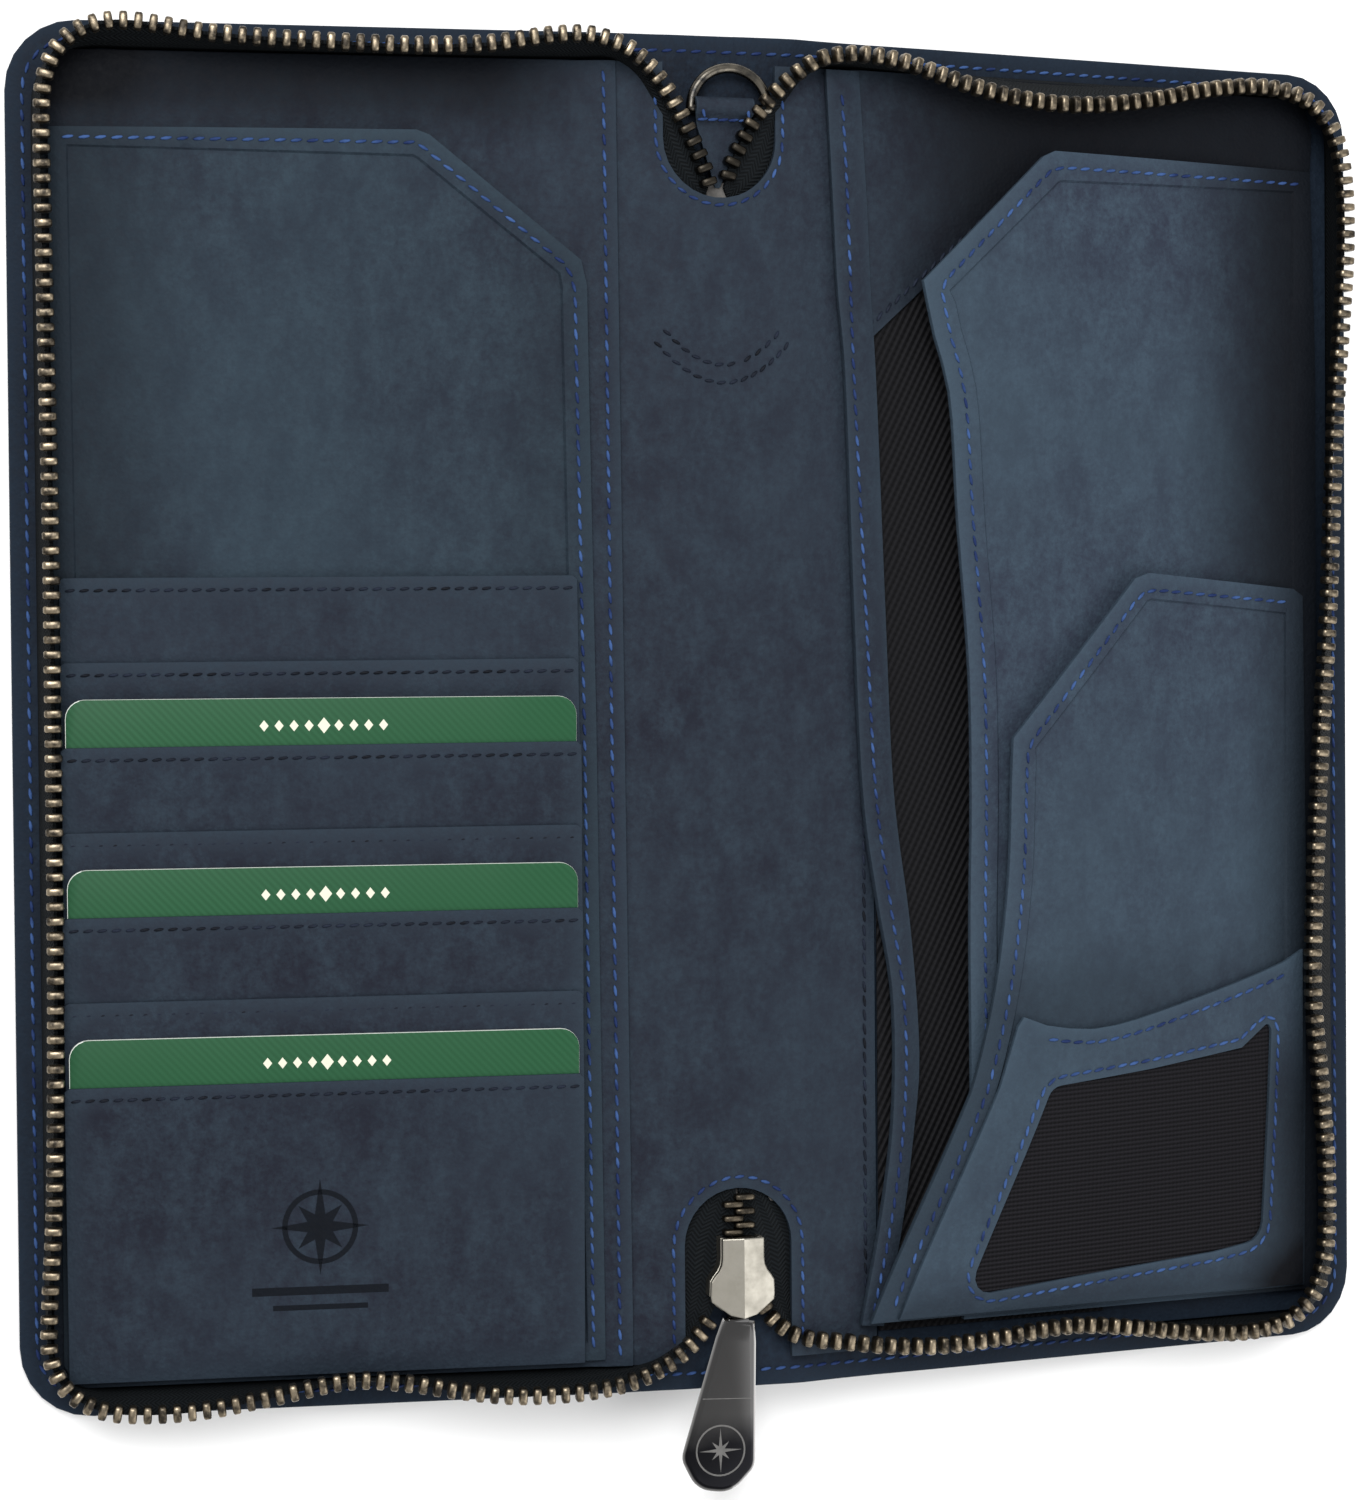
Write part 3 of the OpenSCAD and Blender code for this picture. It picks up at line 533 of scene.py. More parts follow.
for side, label in ((-1, "left"), (1, "right")):
    outline = rounded([(0, -half_height, 0), (edge_x, -half_height, corner_r),
                       (edge_x, half_height, corner_r), (0, half_height, 0)])
    if side < 0:
        outline = [Vector((-p.x, p.y)) for p in reversed(outline)]
    cover = cut_panel(label + "_cover_leather", outline, cell=6.5, wear=2.5, folds=fold_scores(side))
    for vert, value in zip(cover.data.vertices, cover.data.attributes["rim"].data):
        if abs(vert.co.x) < edge_x - 4 and abs(vert.co.y) < half_height - 3:
            value.value = 0
    # The outer leather is drawn in the darker hide, whose near-black tone is painted shade
    press(cover, ripple, leather_t, dark_hide_painted_shade, edge=0.45)
    close_middle(cover, 0.45)
    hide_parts(label + "_leather", "spine_leather")
    bend_at_fold(cover)
    seam = rounded([(0, -half_height + margin_seam, 0), (edge_x - margin_seam, -half_height + margin_seam, 9),
                    (edge_x - margin_seam, half_height - margin_seam, 9), (0, half_height - margin_seam, 0)])
    margin = sew(label + "_margin_stitches", [[(side * p.x, p.y) for p in seam]], ripple, blue_thread)
    bend_at_fold(margin)

# ---- Boards ----
# Grey fibre board stiffens both covers and the spine, glued between the leather and the
# lining. The boards stop short of the folds, so that the hide can turn there.
def fibre_board():
    material, tree, shader = new_material("fibre_board", 0.9, 0, 0.2)
    place = add_node(tree, "ShaderNodeTexCoord").outputs["Object"]
    fibres = add_node(tree, "ShaderNodeTexNoise", {"Vector": place}, Scale=900.0, Detail=5.0)
    grey = mix_colours(tree, fibres.outputs["Fac"], (0.05, 0.05, 0.05), (0.16, 0.15, 0.14))
    tree.links.new(grey, shader.inputs["Base Color"])
    return material


board_finish = fibre_board()
board_t, board_rim, board_corner = 1.1, 7.5, 8.0
spine_board_low, spine_board_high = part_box("spine_board")
spine_ends = (spine_board_low.y / MM - middle_y, spine_board_high.y / MM - middle_y)
cover_ends = (board_rim - half_height, half_height - board_rim)
for label, low, high, (tail, head), corner in (
        ("spine", 1.5 - fold_x, fold_x - 1.5, spine_ends, 0),
        ("left", board_rim - edge_x, -fold_x - fold_out, cover_ends, board_corner),
        ("right", fold_x + fold_out, edge_x - board_rim, cover_ends, board_corner)):
    near_left, near_right = (corner if label == "left" else 0), (corner if label == "right" else 0)
    outline = rounded([(low, tail, near_left), (high, tail, near_right), (high, head, near_right),
                       (low, head, near_left)])
    board = cut_panel(label + "_fibre_board", outline, cell=30)
    press(board, flat_at(leather_t + board_t), board_t, board_finish, edge=0.1)
    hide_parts(label + "_board")
    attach(board, "spine" if label == "spine" else label + "_cover")

# ---- Spine lining ----
# A smooth hide panel over the spine, cut out in a U at both ends where the zip tape runs in.
# It is made in two halves that bend at the folds, and its long edges lie under the covers'
# panels. Two dark arcs of stitching hold a stiffener behind it.
lining_t = 1.1
head_u = (-3.4, 99.3, 10.1)
tail_u = (-1.5, -91.9, 9.7)
lining_end = half_height - 5.3
lining_reach = {-1: 24.0, 1: 24.6}


def u_arc(u, side, steps=9):
    """One side of a U cut, from the spine's middle line round to where its side runs straight"""
    x, y, r = u
    outward = 1 if y < 0 else -1
    first = math.atan2(outward * math.sqrt(r * r - x * x), -x)
    last = math.pi if side < 0 else 0.0
    if side < 0 and outward < 0:
        last = -math.pi
    return [Vector((x + r * math.cos(a), y + r * math.sin(a)))
            for a in (first + (last - first) * k / steps for k in range(steps + 1))]


for side, label in ((-1, "left"), (1, "right")):
    head, tail = u_arc(head_u, side), u_arc(tail_u, side)
    reach = side * lining_reach[side]
    outline = (tail[::-1] + head + [Vector((head[-1].x, lining_end)), Vector((reach, lining_end)),
                                    Vector((reach, -lining_end)), Vector((tail[-1].x, -lining_end))])
    if side > 0:
        outline.reverse()
    half = cut_panel("spine_lining_" + label, outline, cell=3.4, wear=3.0, folds=fold_scores(side))
    for vert, value in zip(half.data.vertices, half.data.attributes["rim"].data):
        if abs(vert.co.x) < 3 and head_u[1] - head_u[2] - 3 > vert.co.y > tail_u[1] + tail_u[2] + 3:
            value.value = 0
    press(half, flat_at(lining_top), lining_t, navy_hide, edge=0.25)
    close_middle(half, 0.25)
    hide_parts("spine_lining")
    bend_at_fold(half)
    seams = []
    for (x, y, r), gap in ((head_u, 1.3), (tail_u, 2.0)):
        seam = u_arc((x, y, r + gap), side)
        seams.append(seam + [Vector((seam[-1].x, math.copysign(lining_end - 3, y)))])
    u_stitches = sew("u_stitches_" + label, seams, flat_at(lining_top), blue_thread, pitch=2.4, long=0.95)
    bend_at_fold(u_stitches)

arc_seams = {-1: [], 1: []}
for sag, end_x, end_y in ((7.3, 12.2, 64.6), (6.2, 10.6, 66.6)):
    arc = [(-3.2 + end_x * k / 12, end_y - sag * (1 - (k / 12) ** 2)) for k in range(-12, 13)]
    arc_seams[-1].append([p for p in arc if p[0] <= 0])
    arc_seams[1].append([p for p in arc if p[0] >= -0.5])
for side, label in ((-1, "left"), (1, "right")):
    arc_stitches = sew("spine_arc_stitches_" + label, arc_seams[side], flat_at(lining_top), dark_thread,
                       pitch=2.1, long=0.85, askew=14)
    bend_at_fold(arc_stitches)
right_seam = sew("spine_edge_stitches", [[(22.7, 35), (22.6, -40), (22.4, -104)]],
                 flat_at(lining_top), dark_thread, pitch=2.5)
bend_at_fold(right_seam)

# ---- Left cover's lining ----
# The lining of the left cover laps over the spine lining and is sewn down to it with a blue
# seam along the fold.


def left_lining_height(x, y):
    return lining_top + 0.15 + 0.75 * ease((x + 27.5) / 4)


def on_left(outline):
    """An outline given outwards from the left fold, turned to run anticlockwise in the plan"""
    return [Vector((-fold_x - p[0], p[1])) for p in reversed([tuple(p) for p in outline])]


outline = on_left(rounded([(10.9, -lining_end, 0), (109.3, -lining_end, 6), (109.3, lining_end, 6),
                           (12.2, lining_end, 0)]))
# Painted shade: the lining is taken towards near black along the head, in the zip's shade, and along the left
# edge by the standing tape
left_lining = cut_panel("left_cover_lining", outline, cell=4, wear=3,
                        painted_shade_and_tone=lambda x, y: (0.85 * ease((y - 96) / 12) * ease((-20 - x) / 25)
                                            + 0.35 * ease((-98 - x) / 12)))
press(left_lining, left_lining_height, 1.0, navy_hide, edge=0.3)
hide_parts("left_lining")
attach(left_lining, "left_cover")
lap_seam = sew("left_lap_stitches", [[(-23.9, lining_end - 1.5), (-23.4, 0), (-22.8, -lining_end + 1.5)]],
               left_lining_height, blue_thread)
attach(lap_seam, "left_cover")

# ---- Slip pocket ----
# A deep pocket of paler hide covers the left side. Its head edge and the slanting corner have
# a turned hem with a blue seam.
slip_hem = 4.2


def slip_height(x, y):
    swell = math.sin(math.pi * min(1, max(0, (-x - 26) / 92))) * ease((y - 25) / 40)
    return 5.15 + 0.75 * ease((y - 55) / 45) + 0.7 * swell


outline = on_left([(15.9, -110.8), (106, -110.8), (107.6, -108), (107.9, 98.9), (46.6, 99.4), (44.4, 98.6),
                   (18.6, 77.9), (17.6, 73.5), (16.6, 0)])
# Painted shade: the pocket darkens towards its fore edge by the standing tape, and a little towards the spine
slip_pocket = cut_panel("slip_pocket", outline, cell=5.5, hem=slip_hem, sunk=0.45, wear=5.5,
                        painted_shade_and_tone=lambda x, y: 0.5 * ease((-88 - x) / 28) + 0.22 * ease((x + 50) / 22))
press(slip_pocket, slip_height, 1.0, slip_hide_painted_shade, edge=0.35)
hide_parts("slip_pocket_panel")
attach(slip_pocket, "left_cover")
slip_seam = [(-fold_x - u, v) for u, v in ((106, 97.2), (46.5, 97.2), (20.6, 76.4), (19.7, 73), (18.7, 0),
                                           (18.0, -109))]
slip_stitches = sew("slip_pocket_stitches", [slip_seam], slip_height, blue_thread)
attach(slip_stitches, "left_cover")

# ---- Card slots ----
# Seven strips of thin hide overlap like roof slates. Each hangs from a seam of dark thread
# just under its top edge and is closed at both ends, and the odd ones have a card behind. A
# generic compass star and two bars are pressed into the long last one.
slot_pitch, slot_top, slot_overlap = 14.15, 23.9, 3.0
slot_t, card_t, sheet_gap, card_show, card_height = 0.5, 0.8, 0.05, 8.0, 54.0
slot_slope = (card_t + 2 * slot_t + 3 * sheet_gap) / (2 * slot_pitch)
slot_base = 5.1
slot_tail = -half_height + 6.5


def slot_edge(k):
    return slot_top - (k - 1) * slot_pitch


def slot_face(k):
    """Height of a slot's front along the cover"""
    if k < 3:
        return lambda x, y: (slot_base + 0.35 + k * (slot_t + sheet_gap)
                             + 0.25 * ease((y - slot_edge(k) + 6) / 6))
    foot = slot_tail if k == 7 else slot_edge(k) - slot_pitch - slot_overlap
    pair_foot = slot_edge(k if k % 2 else k + 1) + card_show - card_height
    behind = card_t + sheet_gap if k % 2 else -slot_t - sheet_gap
    back = slot_base + sheet_gap + behind + slot_slope * (foot - pair_foot)
    return lambda x, y: back + slot_slope * (y - foot) + slot_t


for k in range(1, 8):
    top, face = slot_edge(k), slot_face(k)
    foot = slot_tail if k == 7 else top - slot_pitch - slot_overlap
    outline = on_left([(19.6, foot), (106.8, foot), (107.0, top - 0.5), (106.2, top), (20.6, top + 0.25),
                       (19.8, top - 0.4)])
    strip = cut_panel(f"card_slot_strip_{k}", outline, cell=5, wear=2.2)
    press(strip, face, slot_t, navy_hide, edge=0.18)
    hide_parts(f"card_slot_{k}")
    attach(strip, "left_cover")
    seam = [(-fold_x - 106.3, top - 2.1), (-fold_x - 20.3, top - 1.9)]
    # A card slides over the seams of the fourth and sixth strips, so those are pulled in flush
    pulled_in = 0.2 if k in (4, 6) else 0
    slot_stitches = sew(f"card_slot_stitches_{k}", [seam], lambda x, y: face(x, y) - pulled_in, dark_thread,
                        pitch=2.3, long=0.85, wide=0.26, high=0.16 if pulled_in else 0.22)
    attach(slot_stitches, "left_cover")

star_middle = Vector((-fold_x - 64.8, -85.6))
star_points = 8


def star_outline(middle, long, short, waist):
    """An eight-pointed compass star with four long and four short points"""
    outline = []
    for k in range(2 * star_points):
        r = waist if k % 2 else (long if k % 4 == 0 else short)
        turn = math.pi * k / star_points + math.pi / 2
        outline.append(middle + Vector((math.cos(turn), math.sin(turn))) * r)
    return outline


def pressed_mark(name, outline, height, body, material=None, proud=0.1, hole=None):
    mark = cut_panel(name, outline, cell=4, hole=hole, painted_shade_and_tone=lambda x, y: 0.85)
    press(mark, lambda x, y: height(x, y) + proud, 0.16, material or dark_hide_painted_shade, edge=0)
    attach(mark, body)
    return mark


def ring_outline(middle, r, count=40):
    return [middle + Vector((math.cos(2 * math.pi * k / count), math.sin(2 * math.pi * k / count))) * r
            for k in range(count)]


pressed_mark("low_panel_star", star_outline(star_middle, 8.2, 5.2, 2.3), slot_face(7), "left_cover",
             proud=0.03)
pressed_mark("low_panel_ring", ring_outline(star_middle, 6.4), slot_face(7), "left_cover", proud=0.03,
             hole=ring_outline(star_middle, 5.5))
for k, half in enumerate((11.5, 8.0)):
    low = star_middle.y - 11.6 - 2.6 * k
    pressed_mark(f"low_panel_bar_{k + 1}", [Vector(p) for p in (
        (star_middle.x - half, low), (star_middle.x + half, low), (star_middle.x + half, low + 1.4 - 0.5 * k),
        (star_middle.x - half, low + 1.4 - 0.5 * k))], slot_face(7), "left_cover", proud=0.03)

# ---- Cards ----
# Three sample cards of green laminated plastic with a white core, rounded corners and a row of
# small cream lozenges. They stand in the third, fifth and seventh slots and slide out.
card_width, card_corner, card_u = 85.6, 3.2, 20.6


def card_face(n):
    foot = slot_edge(2 * n + 1) + card_show - card_height
    return lambda x, y: slot_base + sheet_gap + card_t + slot_slope * (y - foot)


def laminate():
    material, tree, shader = new_material("green_laminate", 0.42, 0, 0.10)
    place = add_node(tree, "ShaderNodeTexCoord").outputs["Object"]
    weave = add_node(tree, "ShaderNodeTexWave", {"Vector": place}, Scale=420.0, Distortion=0.4,
                     bands_direction="DIAGONAL")
    wash = add_node(tree, "ShaderNodeTexNoise", {"Vector": place}, Scale=24.0, Detail=2.0)
    share = add_node(tree, "ShaderNodeMath", {0: weave.outputs["Fac"], 1: wash.outputs["Fac"]},
                     operation="MULTIPLY")
    green = mix_colours(tree, share.outputs[0], (0.012, 0.057, 0.024), (0.019, 0.078, 0.036))
    tree.links.new(green, shader.inputs["Base Color"])
    return material


def plain_with_grain(name, colour, dark, roughness=0.5, scale=800.0, metallic=0.0):
    material, tree, shader = new_material(name, roughness, metallic, 0.4)
    place = add_node(tree, "ShaderNodeTexCoord").outputs["Object"]
    grain = add_node(tree, "ShaderNodeTexNoise", {"Vector": place}, Scale=scale, Detail=4.0)
    tree.links.new(mix_colours(tree, grain.outputs["Fac"], dark, colour), shader.inputs["Base Color"])
    return material


green_laminate = laminate()
white_core = plain_with_grain("white_card_core", (0.72, 0.74, 0.70), (0.5, 0.55, 0.5))
cream_print = plain_with_grain("cream_print", (0.62, 0.62, 0.50), (0.5, 0.49, 0.40))
lozenges = 9
for n in (1, 2, 3):
    face = card_face(n)
    foot = slot_edge(2 * n + 1) + card_show - card_height
    low_u, high_u = card_u, card_u + card_width
    outline = on_left(rounded([(low_u, foot, card_corner), (high_u, foot, card_corner),
                               (high_u, foot + card_height, card_corner),
                               (low_u, foot + card_height, card_corner)]))
    card = cut_panel(f"sample_card_{n}", outline, cell=14)
    press(card, face, card_t, green_laminate, edge=0.12)
    card.data.materials.append(white_core)
    for polygon in card.data.polygons:
        if polygon.normal.z < 0.93:
            polygon.material_index = 1
    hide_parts(f"card_{n}")
    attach(card, f"card_{n}")
    spots = [Vector((-fold_x - card_u - card_width / 2 + (j - (lozenges - 1) / 2) * 2.5,
                     foot + card_height - 4.6)) for j in range(lozenges)]
    for j, spot in enumerate(spots):
        r = 1.35 if j == lozenges // 2 else 0.95
        pressed_mark(f"card_{n}_lozenge_{j + 1}", [spot + Vector(p) * r for p in
                                                   ((0.8, 0), (0, 1), (-0.8, 0), (0, -1))],
                     face, f"card_{n}", material=cream_print, proud=0.04)

# ---- Right cover's lining ----
# Plain hide under the pockets of the right cover. Only a narrow margin of it shows.
outline = rounded([(25, -lining_end, 0), (edge_x - 5.7, -lining_end, 6), (edge_x - 5.7, lining_end, 6),
                   (25, lining_end, 0)])
right_lining = cut_panel("right_cover_lining", outline, cell=9, wear=3)
# The lining is drawn in the darker hide, whose near-black tone is painted shade along its shaded margin
press(right_lining, flat_at(lining_top - 0.25), 0.9, dark_hide_painted_shade, edge=0.25)
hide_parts("right_lining")
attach(right_lining, "right_cover")

# ---- Twill behind the pockets ----
# Black twill with steep ribs lines the pockets and makes their pleated side walls.
def twill_group():
    """Ribs of twill: a repeating ramp across the cloth, with a finer thread along each rib"""
    group, given, made = new_group("twill", [("Rib pitch", "NodeSocketFloat"), ("Slant", "NodeSocketFloat")],
                                   [("Rib", "NodeSocketFloat")])
    place = add_node(group, "ShaderNodeTexCoord").outputs["Object"]
    slant = add_node(group, "ShaderNodeCombineXYZ", {"Z": given.outputs["Slant"]})
    turned = add_node(group, "ShaderNodeMapping", {"Vector": place, "Rotation": slant.outputs["Vector"]})
    parts = add_node(group, "ShaderNodeSeparateXYZ", {"Vector": turned.outputs["Vector"]})
    ribs = add_node(group, "ShaderNodeMath", {0: parts.outputs["X"], 1: given.outputs["Rib pitch"]},
                    operation="PINGPONG")
    scaled = add_node(group, "ShaderNodeMath", {0: ribs.outputs[0], 1: given.outputs["Rib pitch"]},
                      operation="DIVIDE")
    cross = add_node(group, "ShaderNodeMath", {0: parts.outputs["Y"], 1: given.outputs["Rib pitch"]},
                     operation="PINGPONG")
    crossed = add_node(group, "ShaderNodeMath", {0: cross.outputs[0], 1: given.outputs["Rib pitch"]},
                       operation="DIVIDE")
    both = add_node(group, "ShaderNodeMath", {0: crossed.outputs[0], 2: scaled.outputs[0]},
                    operation="MULTIPLY_ADD")
    both.inputs[1].default_value = 0.3
    group.links.new(both.outputs[0], made.inputs["Rib"])
    return group


twill_ribs = twill_group()


def twill_material(name, pitch, slant, light, dark, depth=0.0004):
    material, tree, shader = new_material(name, 0.75, 0, 0.08)
    ribs = tree.nodes.new("ShaderNodeGroup")
    ribs.node_tree = twill_ribs
    ribs.inputs["Rib pitch"].default_value = pitch * MM / 2
    ribs.inputs["Slant"].default_value = math.radians(slant)
    tree.links.new(mix_colours(tree, ribs.outputs["Rib"], dark, light), shader.inputs["Base Color"])
    bump = add_node(tree, "ShaderNodeBump", {"Height": ribs.outputs["Rib"]}, Strength=0.9, Distance=depth)
    tree.links.new(bump.outputs["Normal"], shader.inputs["Normal"])
    return material


black_twill = twill_material("black_twill", 1.15, 28, (0.0085, 0.0085, 0.010), (0.0022, 0.0022, 0.0026))
outline = [Vector(p) for p in ((24.9, -109), (70, -109), (70, 97), (24.9, 97))]
twill_back = cut_panel("twill_back", outline, cell=9)
press(twill_back, flat_at(4.2), 0.35, black_twill, edge=0)
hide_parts("pocket_twill")
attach(twill_back, "right_cover")

# ---- Facing and edge strip ----
# A hide facing closes the head of the right side above the twill, with a slanting edge sewn in
# dark thread. A folded strip of hide runs from head to foot beside the spine, and stands away
# from it towards the foot.
facing_low = [(24.0, 65.4), (60.5, 97.6)]
outline = [Vector(p) for p in (facing_low[0], facing_low[1], (114.5, 97.6), (115, 106), (113, lining_end),
                               (20.5, lining_end), (20.5, 66))]
# Painted shade: the facing darkens to near black towards the fore edge, in the shade of the standing tape,
# and a little at the head near the spine
facing = cut_panel("pocket_head_facing", outline, cell=4, wear=1.5,
                   painted_shade_and_tone=lambda x, y: (0.92 * ease((x - 18) / 32)
                                       + 0.2 * ease((y - 98) / 10) * ease((50 - x) / 20)))
press(facing, flat_at(4.95), 0.7, navy_hide, edge=0.2)
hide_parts("pocket_facing")
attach(facing, "right_cover")
facing_stitches = sew("facing_stitches", [[(23.2, 67.2), (58.5, 98.0)]], flat_at(4.95), dark_thread,
                      pitch=2.3, askew=18)
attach(facing_stitches, "right_cover")

strip_left = [(15.6, 111.9), (16.7, 90), (17.5, 74), (18.9, 58), (20.2, 20), (21.7, -14), (24.2, -33),
              (27.0, -50), (26.9, -71), (24.2, -90), (20.8, -107.5)]
strip_right = [(21.8, 111.9), (23.2, 90), (23.9, 74), (24.9, 58), (26.4, 20), (27.9, -14), (30.6, -37),
               (32.2, -60), (31.0, -74), (28.4, -92), (25.2, -108)]
strip_seam = [(18.5, 108), (19.5, 88), (20.4, 60), (22.4, 20), (24.2, -14), (26.6, -33), (29.3, -52),
              (29.1, -71), (26.3, -90), (23.0, -106)]


def strip_height(x, y):
    return 5.3 + 1.1 * ease((-y - 5) / 45) * ease((y + 112) / 30) + 0.35 * math.cos((x - 20) / 4)


outline = through(strip_left, 4) + through(strip_right, 4)[::-1]
edge_strip = cut_panel("pocket_edge_band", outline, cell=3.2, wear=2.0)
press(edge_strip, strip_height, 1.1, navy_hide, edge=0.45)
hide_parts("pocket_edge_strip")
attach(edge_strip, "right_cover")
strip_stitches = sew("edge_band_stitches", [through(strip_seam, 3)], strip_height, blue_thread)
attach(strip_stitches, "right_cover")

# ---- Large pocket ----
# The travel document pocket: a hide panel as tall as the cover, sewn at its foot and fore side.
# Its spine side stands open on a twill pleat, and its hem is turned and sewn in blue.
large_edge = [(32.1, 75.5), (34.2, 66), (37.2, 55), (38.6, 33), (40.6, 7.5), (40.9, -15.5), (40.5, -37.5),
              (40.6, -63), (40.8, -108)]


def large_height(x, y):
    open_share = min(1, max(0, (114 - x) / 76))
    foot_share = ease((y + 110) / 40)
    return 5.9 + 4.0 * math.sin(open_share * math.pi / 2) * foot_share - 0.5 * ease((y - 70) / 30)


def offset_line(line, gap):
    """A line beside another, to the right of the way it runs"""
    moved = []
    for i, place in enumerate(line):
        run = (line[min(i + 1, len(line) - 1)] - line[max(i - 1, 0)]).normalized()
        moved.append(place + Vector((run.y, -run.x)) * gap)
    return moved


large_line = through(large_edge, 5)
outline = ([Vector(p) for p in ((114.6, -108), (115, 60), (114.3, 98.9), (58.8, 99.5), (56.4, 98.4))]
           + large_line)
# Painted shade: the pocket darkens to near black towards its fore edge, in the shade of the standing tape
large_pocket = cut_panel("large_pocket_front", outline, cell=5.0, hem=5.2, sunk=0.45, wear=6.5,
                         painted_shade_and_tone=lambda x, y: 0.93 * ease((x - 80) / 30))
press(large_pocket, large_height, 1.0, pale_hide, edge=0.4)
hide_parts("large_pocket")
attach(large_pocket, "right_cover")
large_seam = [Vector(p) for p in ((112, 96.5), (59.0, 96.6), (57.6, 95.8), (35.4, 74.8))]
large_seam += offset_line(large_line, -2.9)[2:-1]
large_stitches = sew("large_pocket_stitches", [large_seam], large_height, blue_thread)
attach(large_stitches, "right_cover")

# ---- Pleats ----
# Folded walls of twill close the sides of the open pockets, from the back to the edge of each
# front panel.


def pleat(name, line, low, high, node):
    """A pleated wall under a pocket's free edge, which folds in once on its way down"""
    deselect()
    bpy.ops.mesh.primitive_grid_add(x_subdivisions=len(line) - 1, y_subdivisions=4, size=2)
    wall = bpy.context.object
    wall.name = name
    for vert in wall.data.vertices:
        i = round((vert.co.x + 1) / 2 * (len(line) - 1))
        share = (vert.co.y + 1) / 2
        inward = 2.2 + 3.2 * math.sin(math.pi * share)
        x, y = line[i].x + inward, line[i].y
        top = high(*line[i]) - 1.15
        vert.co = lay(x, y, low + (top - low) * share)
    body = wall.modifiers.new("cloth", "SOLIDIFY")
    body.thickness = 0.35 * MM
    body.offset = 0
    apply_modifiers(wall)
    smooth_shade(wall, 60)
    wall.data.materials.append(black_twill)
    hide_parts(node)
    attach(wall, "right_cover")


pleat("large_pocket_pleat", large_line, 4.25, large_height, "large_pocket_gusset")

# ---- Small pocket ----
# A shorter pocket in front of the large one, for a second document, with the same turned hem.
small_edge = [(48.0, -4.6), (47.6, -12), (46.9, -29), (44.4, -47.6), (40.2, -64), (36.1, -74), (21.8, -107)]


def small_height(x, y):
    open_share = min(1, max(0, (111 - x) / 62))
    foot_share = ease((y + 109) / 46)
    return 7.5 + 4.9 * math.sin(open_share * math.pi / 2) * foot_share - 0.6 * ease((x - 95) / 20)


small_line = through(small_edge, 4)
outline = ([Vector(p) for p in ((111.2, -107), (112, -40), (111.4, 20.6), (109.2, 21.9), (76.2, 24.6),
                                (73.3, 23.6))] + small_line)
# Painted shade: the pocket darkens towards its fore edge, in the shade of the standing tape, and towards its
# foot
small_pocket = cut_panel("small_pocket_front", outline, cell=4.6, hem=4.6, sunk=0.45, wear=6,
                         painted_shade_and_tone=lambda x, y: (0.8 * ease((x - 94) / 20)
                                             + 0.4 * ease((-36 - y) / 18) * ease((114 - x) / 20)))
press(small_pocket, small_height, 1.0, pale_hide, edge=0.4)
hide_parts("small_pocket")
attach(small_pocket, "right_cover")
small_seam = [Vector(p) for p in ((107.5, 19.4), (76.2, 21.6), (74.2, 20.6), (51.0, -5.8))]
small_seam += offset_line(small_line, -2.9)[1:-1]
small_stitches = sew("small_pocket_stitches", [small_seam], small_height, blue_thread)
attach(small_stitches, "right_cover")
pleat("small_pocket_pleat", small_line[:14], 6.4, small_height, "small_pocket_gusset")

# ---- Window pocket ----
# An outer pocket on the small one has a window of black net, for a tag or a ticket. The hide
# frame is turned under and sewn in blue round the window and along its dipped head edge.
window = rounded([(40.0, -103.6, 3), (70, -100.9, 0), (91, -99.2, 0), (101.2, -97.6, 4), (103.0, -59.0, 1.5),
                  (102.2, -57.6, 0.8), (96.0, -61.9, 0), (76, -64.5, 0), (55.0, -66.6, 3)], steps=4)
frame_head = [(110.6, -44.6), (106.3, -46.7), (94, -50.2), (80.7, -53.6), (70, -56.0), (62.8, -56.7),
              (54, -55.6), (49.4, -53.9)]
frame_outline = ([Vector(p) for p in ((26.9, -106.6), (110.4, -106.6))] + through(frame_head, 5)
                 + [Vector(p) for p in ((48.2, -55.5), (44.6, -66), (40.6, -75))])


def frame_height(x, y):
    return small_height(x, y) + 0.75


# Painted shade: the frame darkens towards its fore edge and along its foot, by the standing tape
window_frame = cut_panel("window_frame", frame_outline, cell=4.6, wear=2.4, hole=window,
                         painted_shade_and_tone=lambda x, y: (0.9 * ease((x - 92) / 20) * ease((-45 - y) / 30)
                                             + 0.45 * ease((-98 - y) / 8)))
press(window_frame, frame_height, 0.85, pale_hide, edge=0.25)
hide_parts("id_pocket_frame")
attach(window_frame, "right_cover")
window_seam = offset_line(window + window[:1], 1.6)
head_seam = [p - Vector((0, 2.4)) for p in through(frame_head, 5)][1:-1]
frame_stitches = sew("window_frame_stitches", [window_seam, head_seam], frame_height, blue_thread, pitch=2.5)
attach(frame_stitches, "right_cover")
black_net = twill_material("black_net", 0.8, 88, (0.011, 0.0105, 0.013), (0.0012, 0.0012, 0.0015), 0.0003)
net = cut_panel("window_net", offset_line(window + window[:1], 1.0)[:-1], cell=5)
press(net, lambda x, y: small_height(x, y) + 0.12, 0.3, black_net, edge=0)
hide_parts("id_window_mesh")
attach(net, "right_cover")

# ---- Zip tape ----
# Black herringbone tape. Each cover's tape is sewn under the margin all round, stands up to
# carry the teeth, leans in and out as it has been handled, and runs in over the spine to
# the U cuts. It is woven, so its pattern follows its own length.


